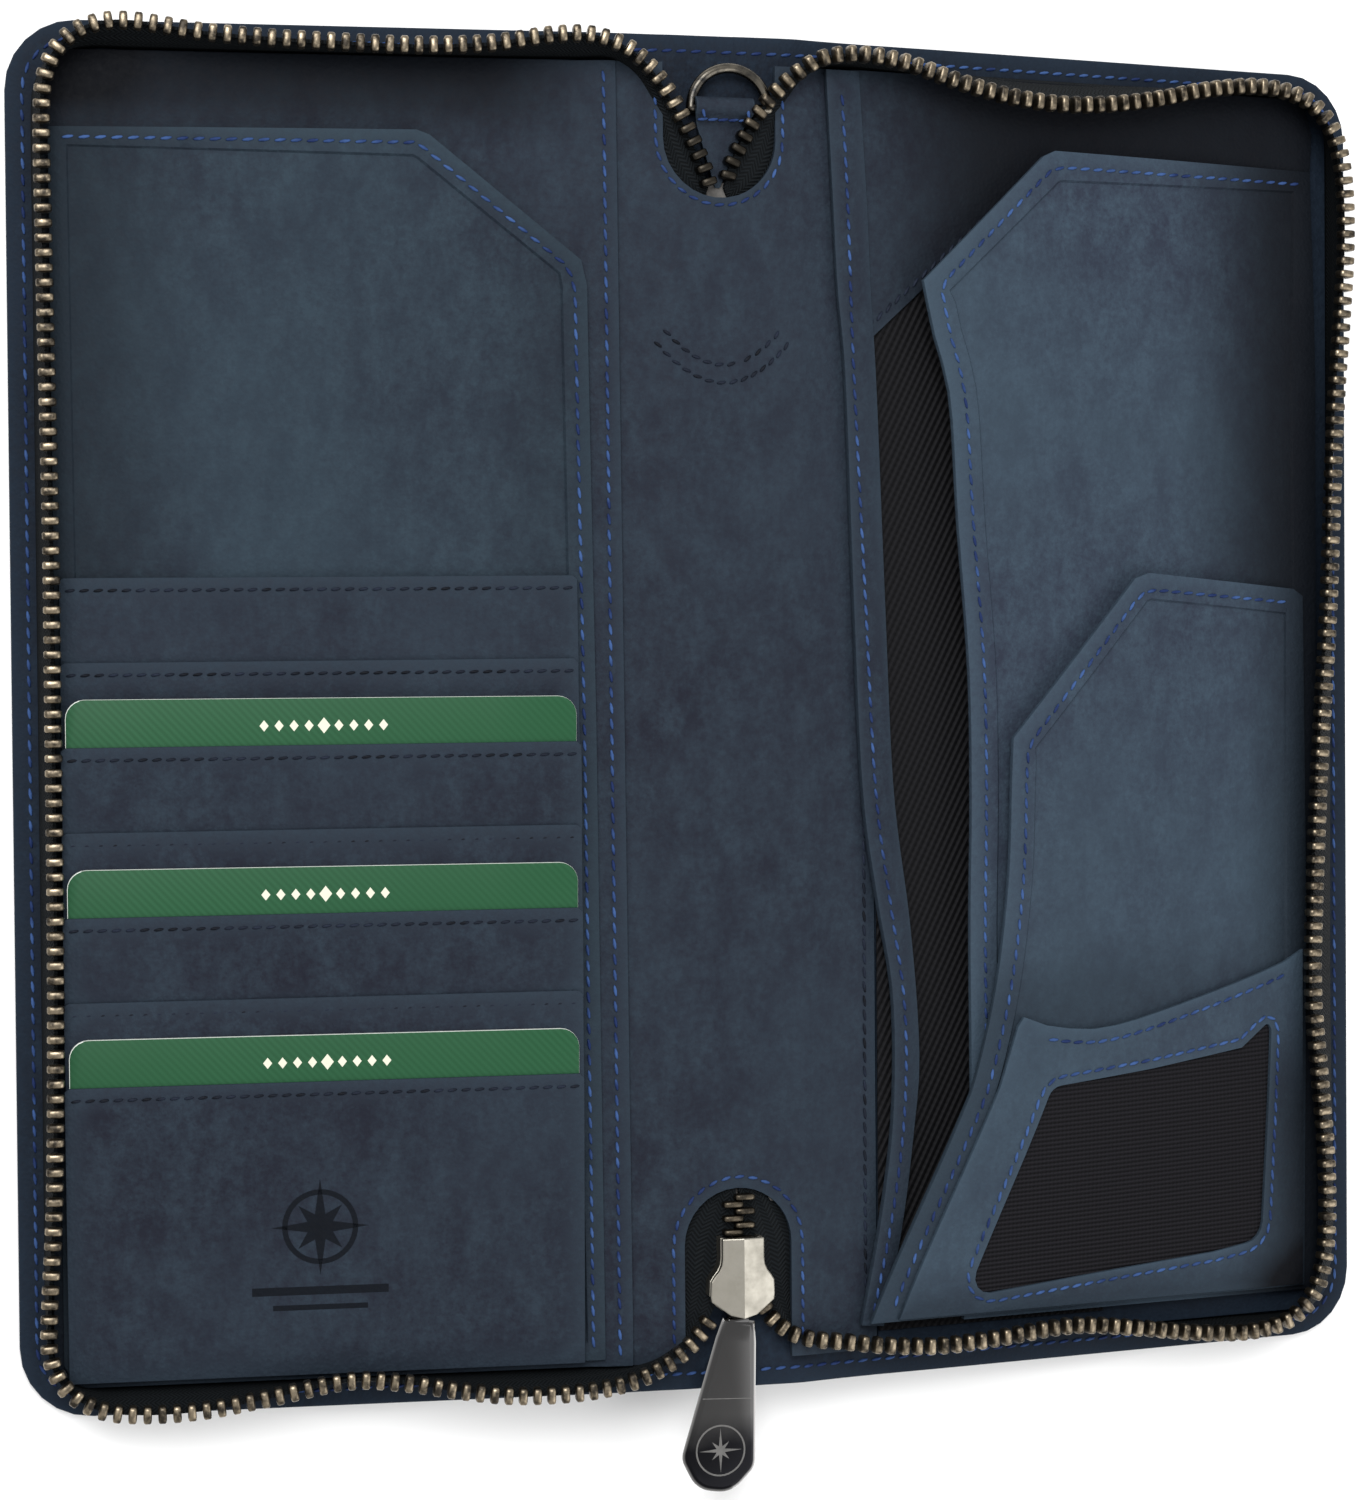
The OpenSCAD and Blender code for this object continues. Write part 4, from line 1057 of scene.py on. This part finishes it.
def tape_material():
    material, tree, shader = new_material("black_tape", 0.75, 0, 0.08)
    along = add_node(tree, "ShaderNodeUVMap", uv_map="UVMap")
    parts = add_node(tree, "ShaderNodeSeparateXYZ", {"Vector": along.outputs["UV"]})
    chevron = add_node(tree, "ShaderNodeMath", {0: parts.outputs["Y"]}, operation="PINGPONG")
    chevron.inputs[1].default_value = 1.0
    slanted = add_node(tree, "ShaderNodeMath", {0: parts.outputs["X"], 1: chevron.outputs[0]},
                       operation="ADD")
    rib = add_node(tree, "ShaderNodeMath", {0: slanted.outputs[0]}, operation="PINGPONG")
    rib.inputs[1].default_value = 0.35
    tree.links.new(mix_colours(tree, rib.outputs[0], (0.002, 0.0025, 0.003), (0.017, 0.022, 0.026)),
                   shader.inputs["Base Color"])
    bump = add_node(tree, "ShaderNodeBump", {"Height": rib.outputs[0]}, Strength=0.9, Distance=0.0006)
    tree.links.new(bump.outputs["Normal"], shader.inputs["Normal"])
    return material


black_tape = tape_material()
foot_x, foot_y = edge_x - 4.6, half_height - 4.6

# The tape's top edge as (x, y, height), from the head of the spine round the cover to the
# slider, and under it the line where the tape is sewn.
zip_rows = {
    -1: ([(-5.4, 91.0, 3.3), (-6.6, 94.6, 3.4), (-8.6, 99.0, 3.7), (-10.9, 103.3, 4.3), (-13.5, 107.4, 5.2),
          (-16.8, 111.2, 6.6), (-21.0, 113.9, 8.2), (-27.0, 115.4, 9.4), (-34.0, 115.0, 10),
          (-44.0, 113.4, 10), (-56.0, 112.8, 10), (-68.0, 113.0, 10), (-80.0, 113.4, 10),
          (-92.0, 114.2, 10), (-103.0, 115.7, 10),
          (-109.5, 115.2, 10), (-114.5, 112.4, 10), (-117.4, 107.4, 10), (-118.3, 100.0, 10),
          (-118.2, 80.0, 10), (-117.9, 55.0, 10), (-117.6, 30.0, 10), (-117.6, 0.0, 10), (-117.6, -30.0, 10),
          (-117.8, -55.0, 10), (-118.3, -80.0, 10), (-119.3, -98.0, 10), (-119.2, -105.5, 10),
          (-116.6, -111.0, 10), (-111.0, -114.6, 10), (-103.5, -115.6, 10), (-94.0, -115.3, 10),
          (-84.0, -113.8, 10), (-70.0, -111.4, 10), (-60.0, -112.2, 10), (-51.0, -113.9, 10),
          (-41.5, -115.2, 9.8), (-30.5, -115.3, 9.0), (-22.0, -114.3, 7.6), (-16.0, -112.3, 6.0),
          (-11.6, -109.6, 4.6), (-8.4, -106.6, 3.6), (-6.2, -103.5, 3.3), (-4.2, -98.5, 3.2),
          (-2.6, -92.5, 3.2), (-1.6, -81.0, 3.2)],
         [(-6.0, 87.6, 1.9), (-11.5, 89.6, 1.9), (-14.4, 94.0, 1.9), (-15.6, 99.5, 2.0), (-16.4, 104.5, 2.0),
          (-18.0, 109.5, 2.0), (-22.0, 112.6, 2.0), (-28.0, foot_y, 1.6), (-34.0, foot_y, 1.6),
          (-44.0, foot_y, 1.6), (-56.0, foot_y, 1.6), (-68.0, foot_y, 1.6), (-80.0, foot_y, 1.6),
          (-92.0, foot_y, 1.6), (-103.0, foot_y, 1.6), (-111.5, foot_y - 0.1, 1.6), (-116.8, 110.2, 1.6),
          (-119.3, 106.5, 1.6), (-foot_x, 100.0, 1.6), (-foot_x, 80.0, 1.6), (-foot_x, 55.0, 1.6),
          (-foot_x, 30.0, 1.6), (-foot_x, 0.0, 1.6), (-foot_x, -30.0, 1.6), (-foot_x, -55.0, 1.6),
          (-foot_x, -80.0, 1.6), (-foot_x, -98.0, 1.6), (-119.2, -106.5, 1.6), (-116.6, -110.6, 1.6),
          (-111.5, -foot_y + 0.2, 1.6), (-103.5, -foot_y, 1.6), (-94.0, -foot_y, 1.6), (-84.0, -foot_y, 1.6),
          (-70.0, -foot_y, 1.6), (-60.0, -foot_y, 1.6), (-51.0, -foot_y, 1.6), (-41.5, -foot_y, 1.6),
          (-31.0, -foot_y, 1.6), (-23.0, -112.6, 1.9), (-17.5, -111.5, 2.0), (-14.6, -109.0, 2.0),
          (-13.4, -106.0, 2.0), (-13.0, -102.0, 2.0), (-13.0, -97.0, 2.0), (-12.8, -90.0, 1.9),
          (-6.0, -80.0, 1.9)]),
    1: ([(-2.6, 91.0, 3.3), (-1.6, 94.8, 3.4), (0.6, 99.3, 3.7), (3.1, 103.6, 4.2), (6.6, 107.8, 5.0),
         (10.4, 111.2, 6.2), (14.2, 113.4, 7.6), (20.5, 114.0, 9.2), (28.5, 112.9, 10), (38.5, 110.3, 10),
         (48.5, 108.3, 10), (58.5, 107.5, 10), (68.5, 108.0, 10), (78.5, 109.5, 10), (88.0, 111.6, 10),
         (98.0, 112.9, 10), (106.0, 112.4, 10), (112.2, 109.8, 10), (116.3, 104.6, 10), (118.2, 96.0, 10),
         (118.4, 84.0, 10), (117.4, 70.0, 10), (116.2, 56.0, 10), (115.2, 36.0, 10), (114.4, 18.0, 10),
         (112.4, -10.0, 10), (111.2, -34.0, 10), (110.8, -52.0, 10), (112.2, -68.0, 10), (113.6, -84.0, 10),
         (113.4, -99.0, 10), (111.0, -107.5, 10), (105.5, -112.3, 10), (97.0, -113.9, 10), (86.0, -113.2, 10),
         (74.0, -111.4, 10), (60.0, -109.8, 10), (45.0, -110.8, 10), (34.0, -111.3, 9.6),
         (24.0, -110.7, 8.2), (16.5, -109.7, 6.4), (11.0, -109.0, 4.9), (7.2, -107.6, 4.0),
         (3.6, -104.2, 3.3), (1.2, -98.5, 3.2), (-0.4, -92.5, 3.2), (-1.4, -81.0, 3.2)],
        [(-1.0, 87.6, 1.9), (4.5, 89.6, 1.9), (7.6, 94.0, 1.9), (8.8, 99.5, 2.0), (9.8, 104.5, 2.0),
         (11.5, 109.5, 2.0), (15.5, 112.4, 2.0), (22.0, foot_y, 1.6), (29.0, foot_y, 1.6),
         (38.5, foot_y, 1.6), (48.5, foot_y, 1.6), (58.5, foot_y, 1.6), (68.5, foot_y, 1.6),
         (78.5, foot_y, 1.6), (88.0, foot_y, 1.6), (98.0, foot_y, 1.6), (108.0, foot_y, 1.6),
         (115.2, 111.2, 1.6), (118.9, 107.0, 1.6), (foot_x, 98.0, 1.6), (foot_x, 84.0, 1.6),
         (foot_x, 70.0, 1.6), (foot_x, 56.0, 1.6), (foot_x, 36.0, 1.6), (foot_x, 18.0, 1.6),
         (foot_x, -10.0, 1.6), (foot_x, -34.0, 1.6), (foot_x, -52.0, 1.6), (foot_x, -68.0, 1.6),
         (foot_x, -84.0, 1.6), (foot_x, -99.0, 1.6), (118.3, -108.0, 1.6), (112.5, -112.7, 1.6),
         (98.0, -foot_y, 1.6), (86.0, -foot_y, 1.6), (74.0, -foot_y, 1.6), (60.0, -foot_y, 1.6),
         (45.0, -foot_y, 1.6), (34.0, -foot_y, 1.6), (25.0, -112.6, 1.7), (17.5, -112.2, 1.9),
         (12.6, -111.0, 2.0), (10.6, -107.0, 2.0), (10.2, -102.0, 2.0), (10.1, -97.0, 2.0),
         (9.9, -90.0, 1.9), (3.2, -80.0, 1.9)])}
tape_rows_up = 6
fine_steps = 5


def smooth_keys(points):
    """A smooth line with a few places between each two points of a list"""
    points = [Vector(p) for p in points]
    line = []
    for i in range(len(points) - 1):
        a, b, c, d = points[max(i - 1, 0)], points[i], points[i + 1], points[min(i + 2, len(points) - 1)]
        for k in range(fine_steps):
            t = k / fine_steps
            line.append((2 * b + (c - a) * t + (2 * a - 5 * b + 4 * c - d) * t ** 2
                         + (3 * b - a - 3 * c + d) * t ** 3) / 2)
    return line + [points[-1]]


for side, label in ((-1, "left"), (1, "right")):
    top, foot = smooth_keys(zip_rows[side][0]), smooth_keys(zip_rows[side][1])
    deselect()
    bpy.ops.mesh.primitive_grid_add(x_subdivisions=len(top) - 1, y_subdivisions=tape_rows_up - 1, size=2,
                                    calc_uvs=True)
    tape = bpy.context.object
    tape.name = label + "_zip_tape"
    walked = [0.0]
    for a, b in zip(top, top[1:]):
        walked.append(walked[-1] + (b - a).length)
    for loop in tape.data.loops:
        vert = tape.data.vertices[loop.vertex_index].co
        i = round((vert.x + 1) / 2 * (len(top) - 1))
        tape.data.uv_layers["UVMap"].data[loop.index].uv = (walked[i] / 1.1, (vert.y + 1) / 2 * 7)
    for vert in tape.data.vertices:
        i = round((vert.co.x + 1) / 2 * (len(top) - 1))
        share = (vert.co.y + 1) / 2
        low, high = foot[i], top[i]
        # A standing tape goes straight up first and leans near its top
        flat = low.lerp(high, share)
        lean = share ** 1.6
        stands = ease((high.z - 4.5) / 4)
        curved = Vector((*low.xy.lerp(high.xy, lean), low.z + (high.z - low.z) * share))
        vert.co = lay(*flat.lerp(curved, stands))
    body = tape.modifiers.new("cloth", "SOLIDIFY")
    body.thickness = 0.6 * MM
    body.offset = 0
    apply_modifiers(tape)
    smooth_shade(tape, 60)
    tape.data.materials.append(black_tape)
    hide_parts(label + "_tape", "head_tape", "tail_tape")
    bend_at_fold(tape)

# ---- Teeth ----
# Cast teeth in antique brass, clamped over the tape's edge at an even pitch. In the closed
# stretch beyond the slider the teeth come from the two rows by turns.


def antique_metal(name, bright, dull, roughness, scale=520.0):
    """Metal with a dark patina that has worn off in patches, and painted shade towards near black from a
    per-vertex attribute
    """
    material, tree, shader = new_material(name, roughness, 1.0, 0.5)
    place = add_node(tree, "ShaderNodeTexCoord").outputs["Object"]
    patina = add_node(tree, "ShaderNodeTexNoise", {"Vector": place}, Scale=scale, Detail=4.0, Roughness=0.6)
    mask = add_node(tree, "ShaderNodeMapRange", {"Value": patina.outputs["Fac"]},
                    From_Min=0.38, From_Max=0.62)
    metal = mix_colours(tree, mask.outputs["Result"], dull, bright)
    # Painted shade: the per-vertex attribute takes the metal towards near black
    painted_shade_and_tone = add_node(tree, "ShaderNodeAttribute", attribute_name="painted_shade_and_tone")
    tree.links.new(mix_colours(tree, painted_shade_and_tone.outputs["Fac"], metal, (0.02, 0.018, 0.015)),
                   shader.inputs["Base Color"])
    rough = add_node(tree, "ShaderNodeMapRange", {"Value": patina.outputs["Fac"]}, From_Min=0.3, From_Max=0.7,
                     To_Min=roughness + 0.12, To_Max=max(0.05, roughness - 0.08))
    tree.links.new(rough.outputs["Result"], shader.inputs["Roughness"])
    scratch = add_node(tree, "ShaderNodeBump", {"Height": patina.outputs["Fac"]},
                       Strength=0.2, Distance=0.0001)
    tree.links.new(scratch.outputs["Normal"], shader.inputs["Normal"])
    return material


antique_brass = antique_metal("antique_brass", (0.25, 0.205, 0.145), (0.035, 0.03, 0.024), 0.36)
tooth_pitch, tooth_wide, tooth_thick, tooth_tall = 2.45, 2.9, 1.4, 2.6

deselect()
bpy.ops.mesh.primitive_cube_add(size=1)
tooth_bead = bpy.context.object
rounding = tooth_bead.modifiers.new("rounding", "BEVEL")
rounding.width = 0.22
rounding.segments = 2
apply_modifiers(tooth_bead)


def tooth_places(line, first, last, late=0.0):
    """A tooth every pitch along the tape's top edge, square to it"""
    walked, places, due = 0.0, [], first + late
    for a, b in zip(line, line[1:]):
        run = b - a
        while due <= walked + run.length and due <= last:
            spot = a + run * ((due - walked) / max(run.length, 1e-9))
            turn = math.atan2(run.y, run.x)
            places.append(Matrix.Translation(spot + Vector((0, 0, tooth_tall / 2 - 0.5)))
                          @ Matrix.Rotation(turn, 4, "Z")
                          @ Matrix.Diagonal((tooth_thick, tooth_wide, tooth_tall, 1)))
            due += tooth_pitch
        walked += run.length
    return places


for side, label in ((-1, "left"), (1, "right")):
    line = smooth_keys(zip_rows[side][0])
    total = sum((b - a).length for a, b in zip(line, line[1:]))
    last = total - (23.4 if side < 0 else 20.5)
    teeth = copies(label + "_zip_teeth", tooth_bead,
                   tooth_places(line, 0.8, last, late=0 if side < 0 else tooth_pitch / 2))
    smooth_shade(teeth, 50)
    teeth.data.materials.append(antique_brass)
    # Painted shade: the teeth down in the V at each end of the spine, between the two standing tapes, are
    # taken almost to black
    dark = teeth.data.attributes.new("painted_shade_and_tone", "FLOAT", "POINT")
    for vert, value in zip(teeth.data.vertices, dark.data):
        from_middle = abs(vert.co.y / MM - middle_y)
        value.value = 0.95 * ease((106 - from_middle) / 6) * ease((13 - abs(vert.co.x / MM)) / 3)
    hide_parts(label + "_teeth", "head_teeth", "tail_teeth")
    bend_at_fold(teeth)

zip_x = (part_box("closed_chain")[0].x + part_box("closed_chain")[1].x) / 2 / MM
chain_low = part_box("closed_chain")[0].y / MM - middle_y
chain_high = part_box("closed_chain")[1].y / MM - middle_y
chain_places = []
count = int((chain_high - chain_low) / (tooth_pitch / 2))
for k in range(count):
    x = zip_x + (-1.05 if k % 2 else 1.05)
    y = chain_high - (k + 0.5) * tooth_pitch / 2
    chain_places.append(Matrix.Translation((x, y, 3.9)) @ Matrix.Diagonal((3.6, 1.1, 2.3, 1)))
chain = copies("closed_zip_chain", tooth_bead, chain_places)
smooth_shade(chain, 50)
chain.data.materials.append(antique_brass)
# The whole closed chain is taken 0.6 of the way towards near black
for value in chain.data.attributes.new("painted_shade_and_tone", "FLOAT", "POINT").data:
    value.value = 0.6
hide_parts("closed_chain")
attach(chain, "spine")
bpy.data.objects.remove(tooth_bead)

stop_low, stop_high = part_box("bottom_stop")
deselect()
bpy.ops.mesh.primitive_cube_add(size=1, location=(stop_low + stop_high) / 2)
stop = bpy.context.object
stop.name = "zip_stop_clip"
stop.scale = (stop_high.x - stop_low.x, stop_high.y - stop_low.y, 0.002)
bpy.ops.object.transform_apply(location=True, rotation=False, scale=True)
rounding = stop.modifiers.new("rounding", "BEVEL")
rounding.width = 0.5 * MM
rounding.segments = 3
apply_modifiers(stop)
smooth_shade(stop)
stop.data.materials.append(antique_brass)
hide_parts("bottom_stop")
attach(stop, "spine")

# ---- D-ring and its tab ----
# A ring of antique steel wire swings on its straight bar, in the loop of a hide tab. The tab
# lies between the two rows of teeth and is sewn down across its width.
ring_metal = antique_metal("antique_steel", (0.15, 0.135, 0.11), (0.022, 0.022, 0.022), 0.24, 240.0)
ring = frame["nodes"]["d_ring"]
ring.data.materials.clear()
ring.data.materials.append(ring_metal)
swing = next(j for j in frame["joints"] if j["name"] == "ring_swing")
ring_y = swing["pos_m"][1] / MM - middle_y
ring_h = swing["pos_m"][2] / MM - lift
loop_r = 1.95


def tab_side(s):
    """How the tab's hide runs, s millimetres from its lower end: flat, up over the bar and round it"""
    flat_end = ring_y - 3.4
    start = 91.0
    if s < flat_end - start:
        return start + s, 2.9
    s -= flat_end - start
    if s < 3.8:
        return flat_end + s * 0.9, 2.9 + (ring_h + loop_r - 2.9) * ease(s / 3.8)
    turn = (s - 3.8) / loop_r
    return ring_y + loop_r * math.sin(turn), ring_h + loop_r * math.cos(turn)


tab_long = (ring_y - 3.4 - 91.0) + 3.8 + loop_r * 3.0
outline = [Vector(p) for p in ((-4.0, 0), (-3.2, 0), (1.2, 10.2), (2.4, 12.6), (2.6, tab_long),
                               (-8.0, tab_long), (-7.9, 12.6), (-6.9, 9.6))]
tab = cut_panel("ring_tab_hide", outline, cell=0.9, wear=1.0)
for vert in tab.data.vertices:
    y, h = tab_side(vert.co.y)
    vert.co = lay(vert.co.x, y, h)
body = tab.modifiers.new("thickness", "SOLIDIFY")
body.thickness = 0.8 * MM
body.offset = -1
apply_modifiers(tab)
smooth_shade(tab, 50)
tab.data.materials.clear()
tab.data.materials.append(navy_hide)
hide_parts("ring_tab")
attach(tab, "spine")
tab_stitches = sew("ring_tab_stitches", [[(-7.4, 102.6), (1.9, 102.6)], [(-6.6, 102.9), (-6.7, 104.4)],
                                         [(1.4, 102.9), (1.5, 104.4)]],
                   lambda x, y: 2.9 + (ring_h + loop_r - 2.9) * ease((y - ring_y + 3.4) / 3.42),
                   blue_thread, pitch=1.9)
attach(tab_stitches, "spine")

# ---- Slider ----
# Cast slider in satin nickel. Its crown is pointed towards the mouth and has a ridge down the
# middle, and the puller turns on a pin between two small ears under it.
satin_nickel = antique_metal("satin_nickel", (0.36, 0.34, 0.295), (0.26, 0.245, 0.21), 0.34, 200.0)
slider_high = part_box("slider_body")[1]
slider_top = slider_high.y / MM - middle_y
slider_tip = slider_top - 13.5
crown_h = slider_high.z / MM - lift
crown_t, wall_low, floor_h, floor_t = 1.15, 2.6, 2.3, 0.8
half_crown = [(2.4, slider_tip + 0.1), (5.7, slider_tip + 2.5), (5.85, slider_tip + 3.4),
              (5.75, slider_tip + 6.0), (5.2, slider_tip + 6.9), (4.4, slider_tip + 7.9),
              (3.95, slider_tip + 8.9), (3.8, slider_tip + 10), (3.8, slider_top)]
crown_outline = ([Vector((zip_x, slider_tip - 0.5))] + [Vector((zip_x + x, y)) for x, y in half_crown]
                 + [Vector((zip_x - x, y)) for x, y in half_crown[::-1]])


def ridged(x, y):
    return crown_h + 0.7 * (1 - min(1, abs(x - zip_x) / 5.8)) - 0.25 * ease((abs(x - zip_x) - 3.6) / 2.2)


def cast_part(name, outline, height, thick, edge, cell=99.0):
    """A part of the slider, cast solid with softened edges"""
    part = cut_panel(name, outline, cell=cell, wear=1)
    press(part, height, thick, satin_nickel, edge=edge)
    smooth_shade(part, 9)
    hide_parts("slider_body")
    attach(part, "slider")


cast_part("slider_crown", crown_outline, ridged, crown_t, 0.25, cell=5.85)
cast_part("slider_floor", crown_outline[1:], flat_at(floor_h), floor_t, 0.2)
for side, label in ((-1, "left"), (1, "right")):
    wall = [Vector((zip_x + side * x, y)) for x, y in half_crown[2:]]
    wall += [Vector((zip_x + side * (x - 0.75), y)) for x, y in half_crown[:1:-1]]
    if side < 0:
        wall.reverse()
    cast_part(f"slider_{label}_wall", wall, flat_at(crown_h - crown_t + 0.1),
              crown_h - crown_t - wall_low, 0.15)
post = [Vector((zip_x + x, y)) for x, y in ((-0.9, slider_tip + 0.6), (0.9, slider_tip + 0.6),
                                            (0.6, slider_tip + 3.8), (-0.6, slider_tip + 3.8))]
cast_part("slider_wedge", post, flat_at(crown_h - crown_t + 0.1), crown_h - crown_t - floor_h + 0.5, 0.15)

# ---- Puller ----
# A long blade of polished dark gunmetal that widens to a blunt end cut in flats, with a paler
# rim and a line across it. A generic compass star is marked near its end.


def gunmetal_with_painted_reflection():
    """Dark polish with a painted reflection: pale at the neck where it mirrors a pale room, dark at the end
    where it mirrors a dark one
    """
    material, tree, shader = new_material("polished_gunmetal", 0.15, 1.0, 0.5)
    place = add_node(tree, "ShaderNodeTexCoord").outputs["Object"]
    haze = add_node(tree, "ShaderNodeTexNoise", {"Vector": place}, Scale=150.0, Detail=3.0)
    parts = add_node(tree, "ShaderNodeSeparateXYZ", {"Vector": place})
    # Painted reflection: pale near the neck, dark towards the end, with a wavy edge between
    edge_y = (middle_y - 125.5) * MM
    wavy = add_node(tree, "ShaderNodeMath", {0: haze.outputs["Fac"], 2: parts.outputs["Y"]},
                    operation="MULTIPLY_ADD")
    wavy.inputs[1].default_value = 6 * MM
    mask = add_node(tree, "ShaderNodeMapRange", {"Value": wavy.outputs[0]}, From_Min=edge_y + 1 * MM,
                    From_Max=edge_y + 7 * MM)
    painted_reflection = mix_colours(tree, mask.outputs["Result"], (0.012, 0.012, 0.014), (0.066, 0.065, 0.065))
    rim = add_node(tree, "ShaderNodeAttribute", attribute_name="rim")
    bright_rim = add_node(tree, "ShaderNodeMapRange", {"Value": rim.outputs["Fac"]},
                          From_Min=0.45, From_Max=0.9)
    tree.links.new(mix_colours(tree, bright_rim.outputs["Result"], painted_reflection, (0.30, 0.295, 0.29)),
                   shader.inputs["Base Color"])
    return material


gunmetal = gunmetal_with_painted_reflection()
pull = next(j for j in frame["joints"] if j["name"] == "puller_swing")
pin_x, pin_y = pull["pos_m"][0] / MM, pull["pos_m"][1] / MM - middle_y
pin_h = pull["pos_m"][2] / MM - lift
blade_long, blade_neck, blade_wide, blade_t, blade_skew = 29.9, 7.4, 13.6, 1.8, math.radians(-9)


def on_blade(x, y):
    """A place on the puller, measured from its pin down its own middle line"""
    c, s = math.cos(blade_skew), math.sin(blade_skew)
    return Vector((pin_x + x * c - y * s, pin_y + x * s + y * c))


half_neck, half_wide = blade_neck / 2, blade_wide / 2
blade = rounded([(half_neck, -3.4, 0), (half_neck - 0.8, 0.2, 0), (0.8 - half_neck, 0.2, 0),
                 (-half_neck, -3.4, 0), (-half_wide, -blade_long + 5.0, 3.4),
                 (-half_wide + 3.6, -blade_long, 5.0), (half_wide - 3.6, -blade_long, 5.0),
                 (half_wide, -blade_long + 5.0, 3.4)], steps=7)
outline = [on_blade(*p) for p in blade]
puller = cut_panel("puller_blade", outline, cell=99, hem=0.9, sunk=0, wear=0.9)
for vert in puller.data.vertices:
    away = rim_distance(vert.co.xy, outline)
    vert.co = lay(vert.co.x, vert.co.y, pin_h + blade_t / 2 - 0.4 * (1 - min(1, away / 0.9)))
body = puller.modifiers.new("thickness", "SOLIDIFY")
body.thickness = (blade_t - 0.4) * MM
body.offset = -1
apply_modifiers(puller)
smooth_shade(puller, 18)
puller.data.materials.clear()
puller.data.materials.append(gunmetal)
deselect()
bpy.ops.mesh.primitive_cylinder_add(vertices=32, radius=0.85 * MM, depth=3.8 * MM,
                                    location=lay(pin_x, pin_y, pin_h), rotation=(0, math.pi / 2, 0))
eye = bpy.context.object
eye.name = "puller_eye"
bpy.ops.mesh.primitive_cube_add(size=1, location=lay(pin_x, pin_y - 1.6, pin_h))
neck = bpy.context.object
neck.scale = Vector((3.8, 3.2, 1.2)) * MM
deselect()
neck.select_set(True)
eye.select_set(True)
bpy.context.view_layer.objects.active = eye
bpy.ops.object.transform_apply(location=True, rotation=True, scale=True)
bpy.ops.object.join()
rounding = eye.modifiers.new("rounding", "BEVEL")
rounding.width = 0.2 * MM
rounding.segments = 2
rounding.limit_method = "ANGLE"
apply_modifiers(eye)
smooth_shade(eye, 30)
eye.data.materials.append(gunmetal)
for piece in (puller, eye):
    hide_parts("puller")
    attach(piece, "puller")
engraving = plain_with_grain("engraved_line", (0.16, 0.155, 0.15), (0.08, 0.08, 0.078), 0.35, 900.0, 1.0)
blade_face = flat_at(pin_h + blade_t / 2)
middle = on_blade(0, -blade_long + 7.2)
pressed_mark("puller_mark_ring", ring_outline(middle, 4.5), blade_face, "puller", engraving,
             0.02, hole=ring_outline(middle, 4.2))
pressed_mark("puller_mark_star", star_outline(middle, 3.9, 2.2, 0.8), blade_face, "puller",
             engraving, 0.02)
puller_line = [on_blade(*p) for p in ((-4.6, -14.2), (4.3, -13.2), (4.3, -13.05), (-4.6, -14.05))]
pressed_mark("puller_line", puller_line, blade_face, "puller", engraving, 0.02)

bpy.data.objects.remove(stitch_bead)
